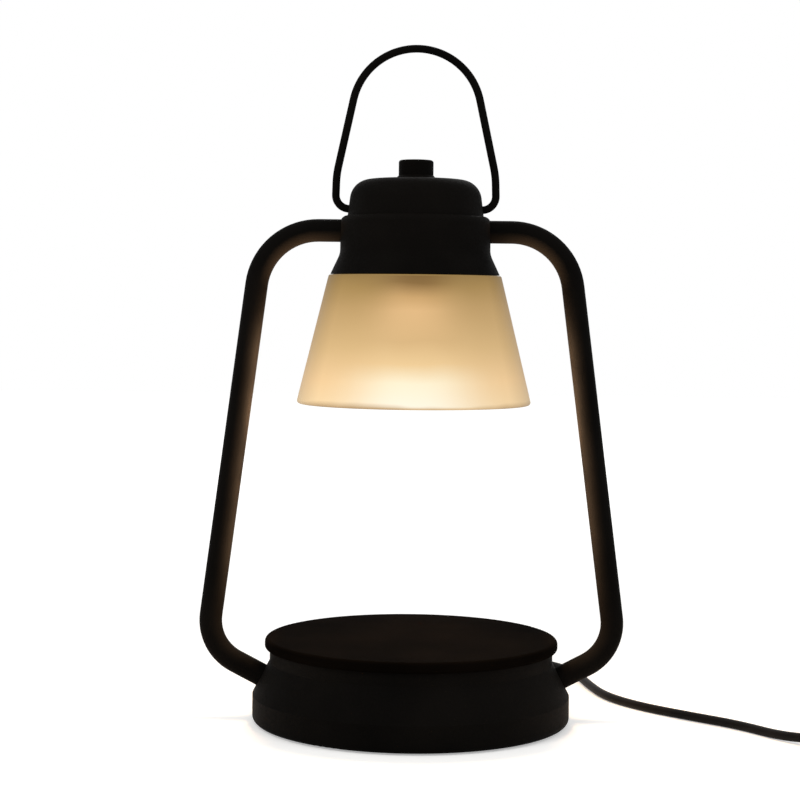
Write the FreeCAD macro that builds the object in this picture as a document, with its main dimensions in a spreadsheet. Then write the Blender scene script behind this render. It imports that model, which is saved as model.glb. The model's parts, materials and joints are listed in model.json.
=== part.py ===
import FreeCAD, Part
import math
import os
import re
import Sketcher

# Candle warmer lamp. Millimetres, +Z up, +Y to the back; the origin is the middle of the foot, on the table.

sizes = {
    # what most pieces share
    "sheet_wall": 1.2,
    "fit_gap": 0.05,
    "loose_gap": 0.3,
    "screw_radius": 1.5,
    "screw_head": 2.4,
    "screw_head_height": 1.6,
    # foot
    "tank_radius": 69.7,
    "tank_edge": 2.5,
    "tank_clearance": 0.4,
    "lip_inset": 3.7,
    "shoulder_start": 12.0,
    "shoulder_lean": 27.5,
    "neck_inset": 7.5,
    "neck_height": 5.8,
    "tray_overhang": 2.2,
    "tray_height": 4.6,
    "tray_edge": 2.0,
    "tray_curl": 1.2,
    "tray_flange": 6.0,
    "tray_boss": 6.0,
    "bolt_radius": 2.5,
    "bolt_head": 5.0,
    "bolt_head_height": 1.9,
    "hub_radius": 10.0,
    "weight_radius": 46.0,
    "weight_thickness": 11.0,
    "cover_height": 2.2,
    "ring_width": 13.0,
    "ring_inset": 2.5,
    # wiring in the foot
    "wire_height": 7.0,
    "wire_radius": 2.0,
    "block_start": 14.0,
    "block_length": 18.0,
    "block_width": 12.0,
    "block_height": 10.0,
    "terminal_spread": 5.0,
    "clamp_inset": 13.7,
    "clamp_length": 6.0,
    "clamp_width": 18.0,
    "clamp_height": 9.0,
    "boot_length": 24.0,
    "boot_root": 4.8,
    "boot_tip": 2.7,
    "boot_neck": 4.4,
    "boot_flange": 5.0,
    "boot_flange_width": 1.8,
    "boot_grip": 6.0,
    # arms
    "arm_radius": 5.0,
    "arm_wall": 1.0,
    "arm_corner": 66.5,
    "arm_top_bend": 27.3,
    "arm_foot_bend": 20.5,
    "arm_foot_run": 27.3,
    "arm_grip": 8.0,
    "lead_bend": 15.0,
    "nut_radius": 7.5,
    "nut_height": 3.0,
    "washer_radius": 7.2,
    "washer_height": 0.8,
    "saddle_wall": 1.2,
    "saddle_length": 5.0,
    "saddle_place": 26.0,
    "saddle_ear": 11.5,
    "saddle_screw_place": 8.6,
    # head
    "head_height": 196.4,
    "head_depth": 25.6,
    "arm_place": 19.0,
    "skirt_radius": 37.2,
    "skirt_wall": 1.3,
    "flare_height": 9.0,
    "flare_round": 9.0,
    "drum_radius": 33.0,
    "drum_round": 3.0,
    "ledge_radius": 21.0,
    "dome_foot": 29.9,
    "dome_top": 27.9,
    "dome_height": 16.0,
    "dome_round": 9.0,
    "knob_radius": 7.65,
    "knob_height": 8.6,
    "knob_round": 1.1,
    "knob_collar": 8.8,
    "collar_edge": 0.7,
    "collar_height": 1.9,
    "knob_bore": 5.5,
    # lamp holder and what carries it
    "bracket_wall": 1.5,
    "bracket_width": 14.0,
    "bracket_reach": 29.0,
    "bracket_leg": 19.2,
    "strap_height": 35.1,
    "holder_radius": 13.6,
    "holder_length": 20.0,
    "holder_socket": 2.1,
    "holder_screw_place": 9.5,
    "holder_screw_length": 6.0,
    "nut_flat": 4.0,
    "nut_flat_height": 3.0,
    "post_radius": 3.0,
    "post_place": 25.0,
    "post_screw_length": 8.0,
    "carrier_radius": 34.0,
    "carrier_wall": 1.5,
    "carrier_tube": 23.2,
    "carrier_tube_wall": 1.2,
    "carrier_tube_length": 8.6,
    "gasket_height": 1.1,
    "ring_radius": 30.0,
    "ring_height": 3.5,
    # glass shade
    "glass_wall": 3.0,
    "glass_top": 37.9,
    "glass_bottom": 51.7,
    "glass_length": 56.6,
    "glass_shoulder": 0.9,
    "glass_rim": 1.3,
    "glass_hole": 23.6,
    # bulb
    "bulb_radius": 25.0,
    "bulb_rim": 4.0,
    "bulb_length": 35.0,
    "bulb_belly": 22.3,
    "bulb_belly_place": 16.5,
    "bulb_waist": 16.8,
    "bulb_waist_place": 28.5,
    "bulb_neck": 12.6,
    "bulb_wall": 1.5,
    "base_radius": 13.0,
    "base_length": 10.7,
    "base_plug": 4.5,
    "capsule_radius": 5.0,
    "capsule_length": 16.0,
    "lens_wall": 2.0,
    "pin_spread": 5.0,
    "pin_radius": 1.4,
    "pin_head": 2.5,
    "pin_length": 6.5,
    "pin_head_length": 2.5,
    "pin_slot": 2.9,
    "pin_slot_depth": 8.0,
    "pin_turn": 30.0,
    # bail
    "bail_wire": 1.7,
    "bail_pivot": 3.0,
    "bail_foot": 35.3,
    "bail_hook": 6.0,
    "bail_arch": 28.4,
    "bail_rise": 176.6,
    "bail_side": 34.9,
    "bail_side_rise": 15.0,
    "bail_sweep": 40.0,
    "bail_hole": 2.2,
    "bail_end": 24.5,
    "clip_radius": 2.7,
    "clip_height": 1.0,
    # inline dimmer
    "dimmer_across": 246.0,
    "dimmer_back": -58.0,
    "dimmer_length": 56.0,
    "dimmer_width": 30.0,
    "dimmer_height": 20.0,
    "dimmer_wall": 2.0,
    "dimmer_round": 6.0,
    "dimmer_edge": 2.0,
    "dimmer_wire": 10.0,
    "dimmer_boot": 17.0,
    "dimmer_boot_root": 3.6,
    "board_height": 5.0,
    "board_wall": 1.6,
    "board_margin": 4.0,
    "control_size": 11.0,
    "control_height": 7.0,
    "shaft_radius": 3.0,
    "shaft_length": 9.0,
    "knob_wheel": 10.5,
    "knob_wheel_height": 7.0,
    "knob_wheel_edge": 0.8,
    "pointer_width": 1.2,
    "pointer_length": 6.0,
    "case_screw_place": 22.0,
    "case_screw_side": 9.0,
    # coil, tie and plug
    "coil_across": 292.0,
    "coil_back": 12.0,
    "coil_middle": 22.5,
    "coil_width": 16.9,
    "coil_height": 8.5,
    "coil_round": 2.1,
    "tie_width": 8.0,
    "tie_wall": 0.8,
    "plug_across": 224.0,
    "plug_back": 42.0,
    "plug_length": 28.0,
    "plug_width": 24.0,
    "plug_height": 16.0,
    "plug_round": 5.0,
    "plug_edge": 2.5,
    "plug_boot": 16.0,
    "blade_length": 17.0,
    "blade_width": 6.3,
    "blade_wall": 1.5,
    "blade_spread": 12.7,
}

doc = FreeCAD.newDocument("candle_warmer_lamp")
sheet = doc.addObject("Spreadsheet::Sheet", "sizes")
for row, (alias, size) in enumerate(sizes.items(), 1):
    sheet.set(f"A{row}", alias)
    sheet.set(f"B{row}", str(size))
    sheet.setAlias(f"B{row}", alias)
doc.recompute()

# Places that several pieces share, worked out from the sizes.
tank_lip = "(tank_radius - lip_inset)"
neck_radius = "(tank_radius - neck_inset)"
tray_radius = f"({neck_radius} + tray_overhang)"
clamp_y = "(tank_radius - clamp_inset)"
cover_top = "(cover_height + sheet_wall)"
shoulder_top = f"(shoulder_start + (tank_radius - {neck_radius}) / tan(shoulder_lean))"
tank_top = f"({shoulder_top} + neck_height)"
tray_top = f"({tank_top} + tray_height)"
entry_x = f"((tank_radius + {neck_radius}) / 2)"
entry_z = f"(shoulder_start + (tank_radius - {neck_radius}) / 2 / tan(shoulder_lean))"
arm_z = "(head_height + arm_place)"
head_top = "(head_height + head_depth)"
ledge_bottom = f"({head_top} - sheet_wall)"
dome_z = f"({head_top} + dome_height)"
strap_z = "(head_height + strap_height)"
holder_z = f"({strap_z} - holder_length)"
glass_z = "(head_height - loose_gap)"
lip_z = f"({glass_z} - glass_wall)"
base_z = f"({holder_z} - loose_gap)"
neck_z = f"({base_z} - base_length)"
bulb_z = f"({neck_z} - bulb_length)"
pivot_z = f"({head_top} + bail_pivot)"
drum_inside = "(drum_radius - sheet_wall)"
screw_hole = "(screw_radius + fit_gap)"

parts = []


def formula(text):
    return re.sub(r"[a-z]\w*", lambda word: "sizes." + word[0] if word[0] in sizes else word[0], str(text))


def number(text):
    return float(sheet.evalExpression(formula(text)))


def bind(thing, formulas):
    for name, text in formulas.items():
        thing.setExpression(name, formula(text))


# Turns that lay a piece modelled along Z along another axis.
turns = {
    "X": FreeCAD.Rotation(FreeCAD.Vector(0, 1, 0), 90),
    "Y": FreeCAD.Rotation(FreeCAD.Vector(1, 0, 0), -90),
    "Z": FreeCAD.Rotation(),
    "down": FreeCAD.Rotation(FreeCAD.Vector(1, 0, 0), 180),
}


def seat(thing, x=0, y=0, z=0, along="Z"):
    thing.Placement = FreeCAD.Placement(FreeCAD.Vector(), turns[along])
    bind(thing, {"Placement.Base.x": x, "Placement.Base.y": y, "Placement.Base.z": z})
    return thing


def tilt(thing, x, z, angle):
    thing.Placement = FreeCAD.Placement(FreeCAD.Vector(), FreeCAD.Rotation(FreeCAD.Vector(0, 1, 0), 1))
    bind(thing, {"Placement.Base.x": x, "Placement.Base.z": z, "Placement.Rotation.Angle": angle})
    return thing


def rod(name, radius, length, x=0, y=0, z=0, along="Z"):
    thing = doc.addObject("Part::Cylinder", name)
    bind(thing, {"Radius": radius, "Height": length})
    return seat(thing, x, y, z, along)


def block(name, length, width, height, x=0, y=0, z=0):
    # a box centred on x and y, standing on z
    thing = doc.addObject("Part::Box", name)
    bind(thing, {"Length": length, "Width": width, "Height": height})
    return seat(thing, f"{x} - ({length}) / 2", f"{y} - ({width}) / 2", z)


def cut(name, solid, *tools):
    tool = tools[0]
    if len(tools) > 1:
        tool = doc.addObject("Part::MultiFuse", name + "_tools")
        tool.Shapes = list(tools)
    thing = doc.addObject("Part::Cut", name)
    thing.Base = solid
    thing.Tool = tool
    return thing


def fuse(name, *solids):
    thing = doc.addObject("Part::MultiFuse", name)
    thing.Shapes = list(solids)
    return thing


def group(name, *solids):
    thing = doc.addObject("Part::Compound", name)
    thing.Links = list(solids)
    return thing


def mirrored(name, solid, normal=(1, 0, 0)):
    thing = doc.addObject("Part::Mirroring", name)
    thing.Source = solid
    thing.Normal = FreeCAD.Vector(*normal)
    return thing


def sketchOn(body, plane, name, offset=0):
    sketch = body.newObject("Sketcher::SketchObject", name)
    support = next(face for face in body.Origin.OriginFeatures if face.Role == plane)
    sketch.AttachmentSupport = [(support, "")]
    sketch.MapMode = "FlatFace"
    bind(sketch, {"AttachmentOffset.Base.z": offset})
    return sketch


def pin(sketch, index, end, place):
    for kind, text in zip(("DistanceX", "DistanceY"), place):
        at = sketch.addConstraint(Sketcher.Constraint(kind, -1, 1, index, end, number(text)))
        bind(sketch, {f"Constraints[{at}]": text})


def outline(sketch, corners):
    # a closed outline of straight sides, with every corner bound to its formulas
    points = [FreeCAD.Vector(number(x), number(y), 0) for x, y in corners]
    count = len(points)
    for index in range(count):
        sketch.addGeometry(Part.LineSegment(points[index], points[(index + 1) % count]))
    for index in range(count):
        sketch.addConstraint(Sketcher.Constraint("Coincident", index, 2, (index + 1) % count, 1))
    for index, corner in enumerate(corners):
        pin(sketch, index, 1, corner)


def ringAt(edge, radius, height):
    curve = edge.Curve
    if not isinstance(curve, Part.Circle):
        return False
    return abs(curve.Radius - radius) < 0.001 and abs(curve.Center.z - height) < 0.001


def turned(name, corners, rounds=()):
    # a body turned about Z from (radius, height) corners; each round is (corner number, radius)
    body = doc.addObject("PartDesign::Body", name)
    sketch = sketchOn(body, "XZ_Plane", name + "_outline")
    outline(sketch, corners)
    feature = body.newObject("PartDesign::Revolution", name + "_turned")
    feature.Profile = sketch
    feature.ReferenceAxis = (sketch, ["V_Axis"])
    feature.Angle = 360
    doc.recompute()
    for corner, size in rounds:
        radius, height = (number(text) for text in corners[corner])
        edges = [f"Edge{index}" for index, edge in enumerate(feature.Shape.Edges, 1)
                 if ringAt(edge, radius, height)]
        rounded = body.newObject("PartDesign::Fillet", f"{name}_round_{corner}")
        rounded.Base = (feature, edges)
        bind(rounded, {"Radius": size})
        doc.recompute()
        feature = rounded
    return body


def padded(name, length, width, bottom, height, sideRound, topRound=None, topSide=1):
    # a block centred on Z with rounded upright edges and, if asked, a rounded top (1) or bottom (-1)
    body = doc.addObject("PartDesign::Body", name)
    sketch = sketchOn(body, "XY_Plane", name + "_outline", bottom)
    outline(sketch, [(f"{a} * ({length}) / 2", f"{b} * ({width}) / 2") for a, b in
                     ((-1, -1), (1, -1), (1, 1), (-1, 1))])
    feature = body.newObject("PartDesign::Pad", name + "_pad")
    feature.Profile = sketch
    bind(feature, {"Length": height})
    doc.recompute()
    upright = [f"Edge{index}" for index, edge in enumerate(feature.Shape.Edges, 1)
               if abs(edge.tangentAt(edge.FirstParameter).z) > 0.99]
    sides = body.newObject("PartDesign::Fillet", name + "_sides")
    sides.Base = (feature, upright)
    bind(sides, {"Radius": sideRound})
    doc.recompute()
    if topRound:
        level = number(f"({bottom}) + ({height})") if topSide > 0 else number(bottom)
        flat = next(f"Face{index}" for index, face in enumerate(sides.Shape.Faces, 1)
                    if abs(face.BoundBox.ZMax - level) < 0.001 and face.BoundBox.ZLength < 0.001)
        top = body.newObject("PartDesign::Fillet", name + "_top")
        top.Base = (sides, [flat])
        bind(top, {"Radius": topRound})
        doc.recompute()
    return body


def runsAndBends(sketch, corners, bends):
    # straight runs through the corners, joined by tangent arcs; each corner stays as a construction point
    points = [FreeCAD.Vector(number(x), number(y), 0) for x, y in corners]
    last = len(points) - 1
    starts, stops = [points[0]], []
    arcs = []
    for index in range(1, last):
        back = (points[index - 1] - points[index]).normalize()
        on = (points[index + 1] - points[index]).normalize()
        half = back.getAngle(on) / 2
        radius = number(bends[index - 1])
        reach = radius / math.tan(half)
        middle = (back + on).normalize() * (radius / math.sin(half) - radius)
        stops.append(points[index] + back * reach)
        starts.append(points[index] + on * reach)
        arcs.append(Part.Arc(stops[-1], points[index] + middle, starts[-1]))
    stops.append(points[last])
    for index in range(last):
        sketch.addGeometry(Part.LineSegment(starts[index], stops[index]))
    for index, arc in enumerate(arcs):
        bend = sketch.addGeometry(arc)
        ends = (1, 2)
        if sketch.getPoint(bend, 1).distanceToPoint(stops[index]) > 0.001:
            ends = (2, 1)
        sketch.addConstraint(Sketcher.Constraint("Tangent", index, 2, bend, ends[0]))
        sketch.addConstraint(Sketcher.Constraint("Tangent", bend, ends[1], index + 1, 1))
        at = sketch.addConstraint(Sketcher.Constraint("Radius", bend, number(bends[index])))
        bind(sketch, {f"Constraints[{at}]": bends[index]})
        point = sketch.addGeometry(Part.Point(points[index + 1]), True)
        sketch.addConstraint(Sketcher.Constraint("PointOnObject", point, 1, index))
        sketch.addConstraint(Sketcher.Constraint("PointOnObject", point, 1, index + 1))
        pin(sketch, point, 1, corners[index + 1])
    pin(sketch, 0, 1, corners[0])
    pin(sketch, last - 1, 2, corners[last])


def bent(name, corners, bends, radius, bore=None):
    # a rod or tube in the XZ plane whose first run lies along X
    body = doc.addObject("PartDesign::Body", name)
    spine = sketchOn(body, "XZ_Plane", name + "_route")
    runsAndBends(spine, corners, bends)
    section = sketchOn(body, "YZ_Plane", name + "_section", corners[0][0])
    centre = FreeCAD.Vector(0, number(corners[0][1]), 0)
    for size in (radius, bore) if bore else (radius,):
        circle = circleOn(section, centre, size)
        pin(section, circle, 3, ("0", corners[0][1]))
    pipe = body.newObject("PartDesign::AdditivePipe", name + "_pipe")
    pipe.Profile = section
    pipe.Spine = spine
    doc.recompute()
    return body


def circleOn(sketch, centre, radius):
    circle = sketch.addGeometry(Part.Circle(centre, FreeCAD.Vector(0, 0, 1), number(radius)))
    at = sketch.addConstraint(Sketcher.Constraint("Radius", circle, number(radius)))
    bind(sketch, {f"Constraints[{at}]": radius})
    return circle


def screw(name, x, y, z, length, along="Z", head="screw_head", headHeight="screw_head_height"):
    # the head's underside is at z; the shank points down, or up when along is "down"
    top = rod(name + "_head", head, headHeight)
    shank = rod(name + "_shank", "screw_radius", length, z=f"-({length})")
    return seat(fuse(name, top, shank), x, y, z, along)


def washer(name, bore, radius, height):
    through = rod(name + "_bore", bore, f"({height}) * 3", z=f"-({height})")
    return cut(name, rod(name + "_disc", radius, height), through)


def hexNut(name, bore, radius, height):
    prism = doc.addObject("Part::Prism", name + "_prism")
    prism.Polygon = 6
    bind(prism, {"Circumradius": radius, "Height": height})
    through = rod(name + "_bore", bore, f"({height}) * 3", z=f"-({height})")
    return cut(name, prism, through)


def keep(*things):
    for thing in things:
        thing.Label = thing.Name
        parts.append(thing)


# Foot: a spun steel tank, closed on top, with a sloping shoulder that the arms enter squarely.
corner_drop = "sheet_wall * tan(shoulder_lean / 2)"
tank = turned("base_tank_shell", [
    (tank_lip, "tank_clearance"),
    ("tank_radius", "tank_clearance"),
    ("tank_radius", "shoulder_start"),
    (neck_radius, shoulder_top),
    (neck_radius, tank_top),
    ("bolt_radius + loose_gap", tank_top),
    ("bolt_radius + loose_gap", f"{tank_top} - sheet_wall"),
    (f"{neck_radius} - sheet_wall", f"{tank_top} - sheet_wall"),
    (f"{neck_radius} - sheet_wall", f"{shoulder_top} - {corner_drop}"),
    ("tank_radius - sheet_wall", f"shoulder_start - {corner_drop}"),
    ("tank_radius - sheet_wall", "tank_clearance + sheet_wall"),
    (tank_lip, "tank_clearance + sheet_wall"),
], [(1, "tank_edge"), (10, "tank_edge - sheet_wall")])

# The entry's tool runs out along the arm's own axis, from inside the tank to outside it.
inward = "cos(shoulder_lean)"
downward = "sin(shoulder_lean)"
foot_hole = tilt(rod("right_foot_hole", "arm_radius + fit_gap", "4 * arm_grip"),
                 f"{entry_x} - arm_grip * {inward}", f"{entry_z} - arm_grip * {downward}",
                 "90 - shoulder_lean")
boot_hole = rod("boot_hole", "boot_neck + fit_gap", "tank_radius / 2",
                y="tank_radius / 2 + boot_flange_width * 2", z="wire_height", along="Y")
base_tank = cut("base_tank", tank, foot_hole, mirrored("left_foot_hole", foot_hole), boot_hole)

candle_tray = turned("candle_tray", [
    ("bolt_radius + fit_gap", tank_top),
    ("tray_boss", tank_top),
    ("tray_boss", f"{tray_top} - sheet_wall"),
    (f"{tray_radius} - sheet_wall", f"{tray_top} - sheet_wall"),
    (f"{tray_radius} - sheet_wall", f"{tank_top} + sheet_wall"),
    (f"{tray_radius} - tray_flange", f"{tank_top} + sheet_wall"),
    (f"{tray_radius} - tray_flange", tank_top),
    (tray_radius, tank_top),
    (tray_radius, tray_top),
    ("0", tray_top),
    ("0", f"{tray_top} - sheet_wall"),
    ("bolt_radius + fit_gap", f"{tray_top} - sheet_wall"),
], [(7, "tray_curl"), (8, "tray_edge")])

base_weight = turned("base_weight", [
    ("bolt_radius + loose_gap", cover_top),
    ("hub_radius", cover_top),
    ("hub_radius", f"{tank_top} - sheet_wall - weight_thickness"),
    ("weight_radius", f"{tank_top} - sheet_wall - weight_thickness"),
    ("weight_radius", f"{tank_top} - sheet_wall"),
    ("bolt_radius + loose_gap", f"{tank_top} - sheet_wall"),
])

cover_disc = turned("bottom_cover_disc", [
    ("bolt_radius + loose_gap", "cover_height"),
    (f"{tank_lip} - loose_gap", "cover_height"),
    (f"{tank_lip} - loose_gap", cover_top),
    ("bolt_radius + loose_gap", cover_top),
])

foot_ring = turned("foot_ring", [
    (f"{tank_lip} - ring_inset - ring_width", "0"),
    (f"{tank_lip} - ring_inset", "0"),
    (f"{tank_lip} - ring_inset", "cover_height"),
    (f"{tank_lip} - ring_inset - ring_width", "cover_height"),
])

centre_bolt = turned("centre_bolt", [
    ("0", "cover_height - bolt_head_height"),
    ("bolt_head", "cover_height - bolt_head_height"),
    ("bolt_head", "cover_height"),
    ("bolt_radius", "cover_height"),
    ("bolt_radius", f"{tray_top} - sheet_wall - loose_gap"),
    ("0", f"{tray_top} - sheet_wall - loose_gap"),
])

# Wiring in the foot: the lead comes in through the boot, under a clamp, and round to the terminal block.
clamp_x = "(clamp_width / 2 - screw_head - fit_gap)"
clamp_block = block("clamp_block", "clamp_width", "clamp_length", "clamp_height", y=clamp_y,
                    z=cover_top)
clamp_bore = rod("clamp_bore", "wire_radius + fit_gap", "clamp_length * 2", y=f"{clamp_y} - clamp_length",
                 z="wire_height", along="Y")
clamp_holes, clamp_screws = [], []
for side, sign in (("left", "-1"), ("right", "1")):
    place = f"{sign} * {clamp_x}"
    clamp_holes.append(rod(f"clamp_hole_{side}", screw_hole, "clamp_height * 2", x=place, y=clamp_y))
    clamp_screws.append(screw(f"clamp_screw_{side}", place, clamp_y, f"{cover_top} + clamp_height",
                              "clamp_height + sheet_wall"))
bottom_cover = cut("bottom_cover", cover_disc, *clamp_holes)
cord_clamp = cut("cord_clamp", clamp_block, clamp_bore, *clamp_holes)

block_middle = "(block_start + block_length / 2)"
terminal_base = block("terminal_base", "block_length", "block_width", "block_height", x=block_middle,
                      z=cover_top)
terminal_holes, terminal_screws = [], []
for side, sign in (("left", "-1"), ("right", "1")):
    place = f"{block_middle} + {sign} * terminal_spread"
    top = f"{cover_top} + block_height"
    terminal_holes.append(rod(f"terminal_hole_{side}", screw_hole, "block_height", x=place,
                              z=f"{top} - block_height / 3"))
    terminal_screws.append(screw(f"terminal_screw_{side}", place, "0", top, "block_height / 3 - fit_gap"))
terminal_block = cut("terminal_block", terminal_base, *terminal_holes)

cord_boot = seat(turned("cord_boot", [
    ("wire_radius + fit_gap", "-(sheet_wall + boot_flange_width + loose_gap)"),
    ("boot_flange", "-(sheet_wall + boot_flange_width + loose_gap)"),
    ("boot_flange", "-(sheet_wall + loose_gap)"),
    ("boot_neck", "-(sheet_wall + loose_gap)"),
    ("boot_neck", "loose_gap"),
    ("boot_root", "loose_gap"),
    ("boot_root", "boot_length / 6"),
    ("boot_tip", "boot_length"),
    ("wire_radius + fit_gap", "boot_length"),
]), y="tank_radius", z="wire_height", along="Y")
boot_end = number("tank_radius + boot_length - boot_grip")


def tubeAlong(points, radius, share=0.45):
    # a round lead: straight runs joined by tangent arcs, each as large as its two runs allow
    corners = [FreeCAD.Vector(*point) for point in points]
    edges, bends, start = [], [], corners[0]
    for before, corner, after in zip(corners, corners[1:], corners[2:]):
        back = before - corner
        on = after - corner
        reach = share * min(back.Length, on.Length)
        back.normalize()
        on.normalize()
        half = back.getAngle(on) / 2
        bend = reach * math.tan(half)
        middle = (back + on).normalize() * (bend / math.sin(half) - bend)
        stop, go = corner + back * reach, corner + on * reach
        edges.append(Part.LineSegment(start, stop).toShape())
        edges.append(Part.Arc(stop, corner + middle, go).toShape())
        bends.append(bend)
        start = go
    edges.append(Part.LineSegment(start, corners[-1]).toShape())
    route = Part.Wire(edges)
    section = Part.Wire([Part.Circle(corners[0], corners[1] - corners[0], radius).toShape()])
    solid = route.makePipeShell([section], True, False)
    return solid, route.Length, bends


def lead(name, points, radius):
    solid, length, bends = tubeAlong(points, radius)
    expected = math.pi * radius ** 2 * length
    print(f"{name}: length {length:.1f}, volume over section x length {solid.Volume / expected:.4f},"
          f" bends {min(bends):.1f} to {max(bends):.1f}")
    thing = doc.addObject("Part::Feature", name)
    thing.Shape = solid
    thing.Placement = FreeCAD.Placement()
    return thing


wire_radius = number("wire_radius")
wire_z = number("wire_height")
clamp_inner = number(f"{clamp_y} - 2 * clamp_length")
inlet_lead = lead("inlet_lead", [
    (0, boot_end, wire_z),
    (0, clamp_inner, wire_z),
    (3, 34, wire_z),
    (14, 26, wire_z),
    (number(block_middle), 16, wire_z),
    (number(block_middle), number("block_width / 2"), wire_z),
], wire_radius)

# Arms: one bent tube a side, square into the shoulder below and level into the head above.
foot_x = f"({entry_x} + arm_foot_run * {inward})"
foot_z = f"({entry_z} + arm_foot_run * {downward})"
right_arm = bent("right_arm", [
    (f"{drum_inside} - arm_grip + sheet_wall", arm_z),
    ("arm_corner", arm_z),
    (foot_x, foot_z),
    (f"{entry_x} - arm_grip * {inward}", f"{entry_z} - arm_grip * {downward}"),
], ["arm_top_bend", "arm_foot_bend"], "arm_radius", "arm_radius - arm_wall")
left_arm = mirrored("left_arm", right_arm)

wire_bend_x = f"({entry_x} - ({entry_z} - wire_height) / tan(shoulder_lean))"
inner_lead = bent("inner_lead", [
    ("holder_radius - holder_socket + fit_gap", arm_z),
    ("arm_corner", arm_z),
    (foot_x, foot_z),
    (wire_bend_x, "wire_height"),
    ("block_start + block_length", "wire_height"),
], ["arm_top_bend", "arm_foot_bend", "lead_bend"], "wire_radius")

# Washers and nuts on the arms' ends. A flat washer meets the round wall at its two sides.
foot_sag = f"({entry_x} - sqrt({entry_x}^2 - washer_radius^2))"
foot_seat = f"(sheet_wall + {foot_sag} + fit_gap)"


def pairOnFeet(name, make, height, depth):
    # the right one lies inside the shoulder at a depth along the arm; the left one mirrors it
    inside = f"({depth} + {height})"
    right = tilt(make(name + "_right", height), f"{entry_x} - {inside} * {inward}",
                 f"{entry_z} - {inside} * {downward}", "90 - shoulder_lean")
    return group(name, right, mirrored(name + "_left", right))


def armWasher(name, height):
    return washer(name, "arm_radius + fit_gap", "washer_radius", height)


def armNut(name, height):
    return hexNut(name, "arm_radius + fit_gap", "nut_radius", height)


foot_washers = pairOnFeet("foot_washers", armWasher, "washer_height", foot_seat)
foot_nuts = pairOnFeet("foot_nuts", armNut, "nut_height", f"({foot_seat} + washer_height)")

# Saddles: inside the head each arm's end lies in a strap that two screws pull up against the ledge.
saddle_low = f"({arm_z} - arm_radius - saddle_wall)"
ear_z = f"({ledge_bottom} - saddle_wall)"
arm_bore = rod("saddle_bore", "arm_radius + fit_gap", "saddle_length * 3",
               x="saddle_place - saddle_length * 1.5", z=arm_z, along="X")
saddle_cup = block("saddle_cup", "saddle_length", "2 * (arm_radius + saddle_wall)",
                   f"{ledge_bottom} - {saddle_low}", x="saddle_place", z=saddle_low)
saddle_ears = block("saddle_ears", "saddle_length", "2 * saddle_ear", "saddle_wall", x="saddle_place",
                    z=ear_z)
saddle_holes, saddle_heads = [], []
for side, sign in (("front", "-1"), ("back", "1")):
    y = f"{sign} * saddle_screw_place"
    saddle_holes.append(rod(f"saddle_hole_{side}", screw_hole, "saddle_wall * 6", x="saddle_place", y=y,
                            z=f"{ear_z} - saddle_wall * 2"))
    saddle_heads.append(screw(f"saddle_screw_{side}", "saddle_place", y, ear_z,
                              "saddle_wall + sheet_wall", "down"))
right_saddle = cut("right_saddle", fuse("saddle_solid", saddle_cup, saddle_ears), arm_bore, *saddle_holes)
arm_saddles = group("arm_saddles", right_saddle, mirrored("left_saddle", right_saddle))
right_saddle_screws = group("right_saddle_screws", *saddle_heads)
left_saddle_screws = mirrored("left_saddle_screws", right_saddle_screws)
saddle_screws = group("saddle_screws", right_saddle_screws, left_saddle_screws)

# Head: a spun shell with a flared skirt, open below, with an inward ledge on top.
flare_z = "(head_height + flare_height)"
head_blank = turned("head_blank", [
    ("skirt_radius", "head_height"),
    ("drum_radius", flare_z),
    ("drum_radius", head_top),
    ("ledge_radius", head_top),
    ("ledge_radius", ledge_bottom),
    (drum_inside, ledge_bottom),
    (drum_inside, f"{flare_z} - sheet_wall / 4"),
    ("skirt_radius - skirt_wall", "head_height"),
], [(1, "flare_round"), (2, "drum_round"), (6, "flare_round + sheet_wall")])
arm_holes = rod("arm_holes", "arm_radius + fit_gap", "drum_radius * 2.4", x="-drum_radius * 1.2",
                z=arm_z, along="X")


def atPosts(name, make):
    return [make(f"{name}_{side}", f"{sign} * post_place") for side, sign in (("front", "-1"), ("back", "1"))]


ledge_holes = atPosts("ledge_hole", lambda name, y: rod(name, screw_hole, "head_depth / 2", y=y,
                                                        z=f"{head_top} - head_depth / 4"))
right_ledge_holes = group("right_ledge_holes", *saddle_holes)
left_ledge_holes = mirrored("left_ledge_holes", right_ledge_holes)
head_shell = cut("head_shell", head_blank, arm_holes, right_ledge_holes, left_ledge_holes, *ledge_holes)

# Bracket: a hat-shaped strip under the ledge. Its raised strap carries the lamp holder and the tie rod.
wing_z = f"({ledge_bottom} - bracket_wall)"
bracket_body = doc.addObject("PartDesign::Body", "bracket_body")
hat = sketchOn(bracket_body, "YZ_Plane", "bracket_hat")
right_half = [
    ("bracket_leg", f"{strap_z} + bracket_wall"),
    ("bracket_leg", ledge_bottom),
    ("bracket_reach", ledge_bottom),
    ("bracket_reach", wing_z),
    ("bracket_leg - bracket_wall", wing_z),
    ("bracket_leg - bracket_wall", strap_z),
]
outline(hat, right_half + [(f"-({y})", z) for y, z in reversed(right_half)])
strip = bracket_body.newObject("PartDesign::Pad", "bracket_strip")
strip.Profile = hat
strip.Midplane = True
bind(strip, {"Length": "bracket_width"})
rod_hole = rod("rod_hole", "bolt_radius + fit_gap", "bracket_wall * 4", z=f"{strap_z} - bracket_wall")
wing_holes = atPosts("wing_hole", lambda name, y: rod(name, screw_hole, "bracket_wall * 4", y=y,
                                                      z=f"{wing_z} - bracket_wall"))
holder_holes, holder_heads = [], []
for side, sign in (("left", "-1"), ("right", "1")):
    y = f"{sign} * holder_screw_place"
    holder_holes.append(rod(f"holder_hole_{side}", screw_hole, "holder_screw_length + bracket_wall * 2", y=y,
                            z=f"{strap_z} - holder_screw_length"))
    holder_heads.append(screw(f"holder_screw_{side}", "0", y, f"{strap_z} + bracket_wall",
                              "holder_screw_length + bracket_wall - fit_gap"))
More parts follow.
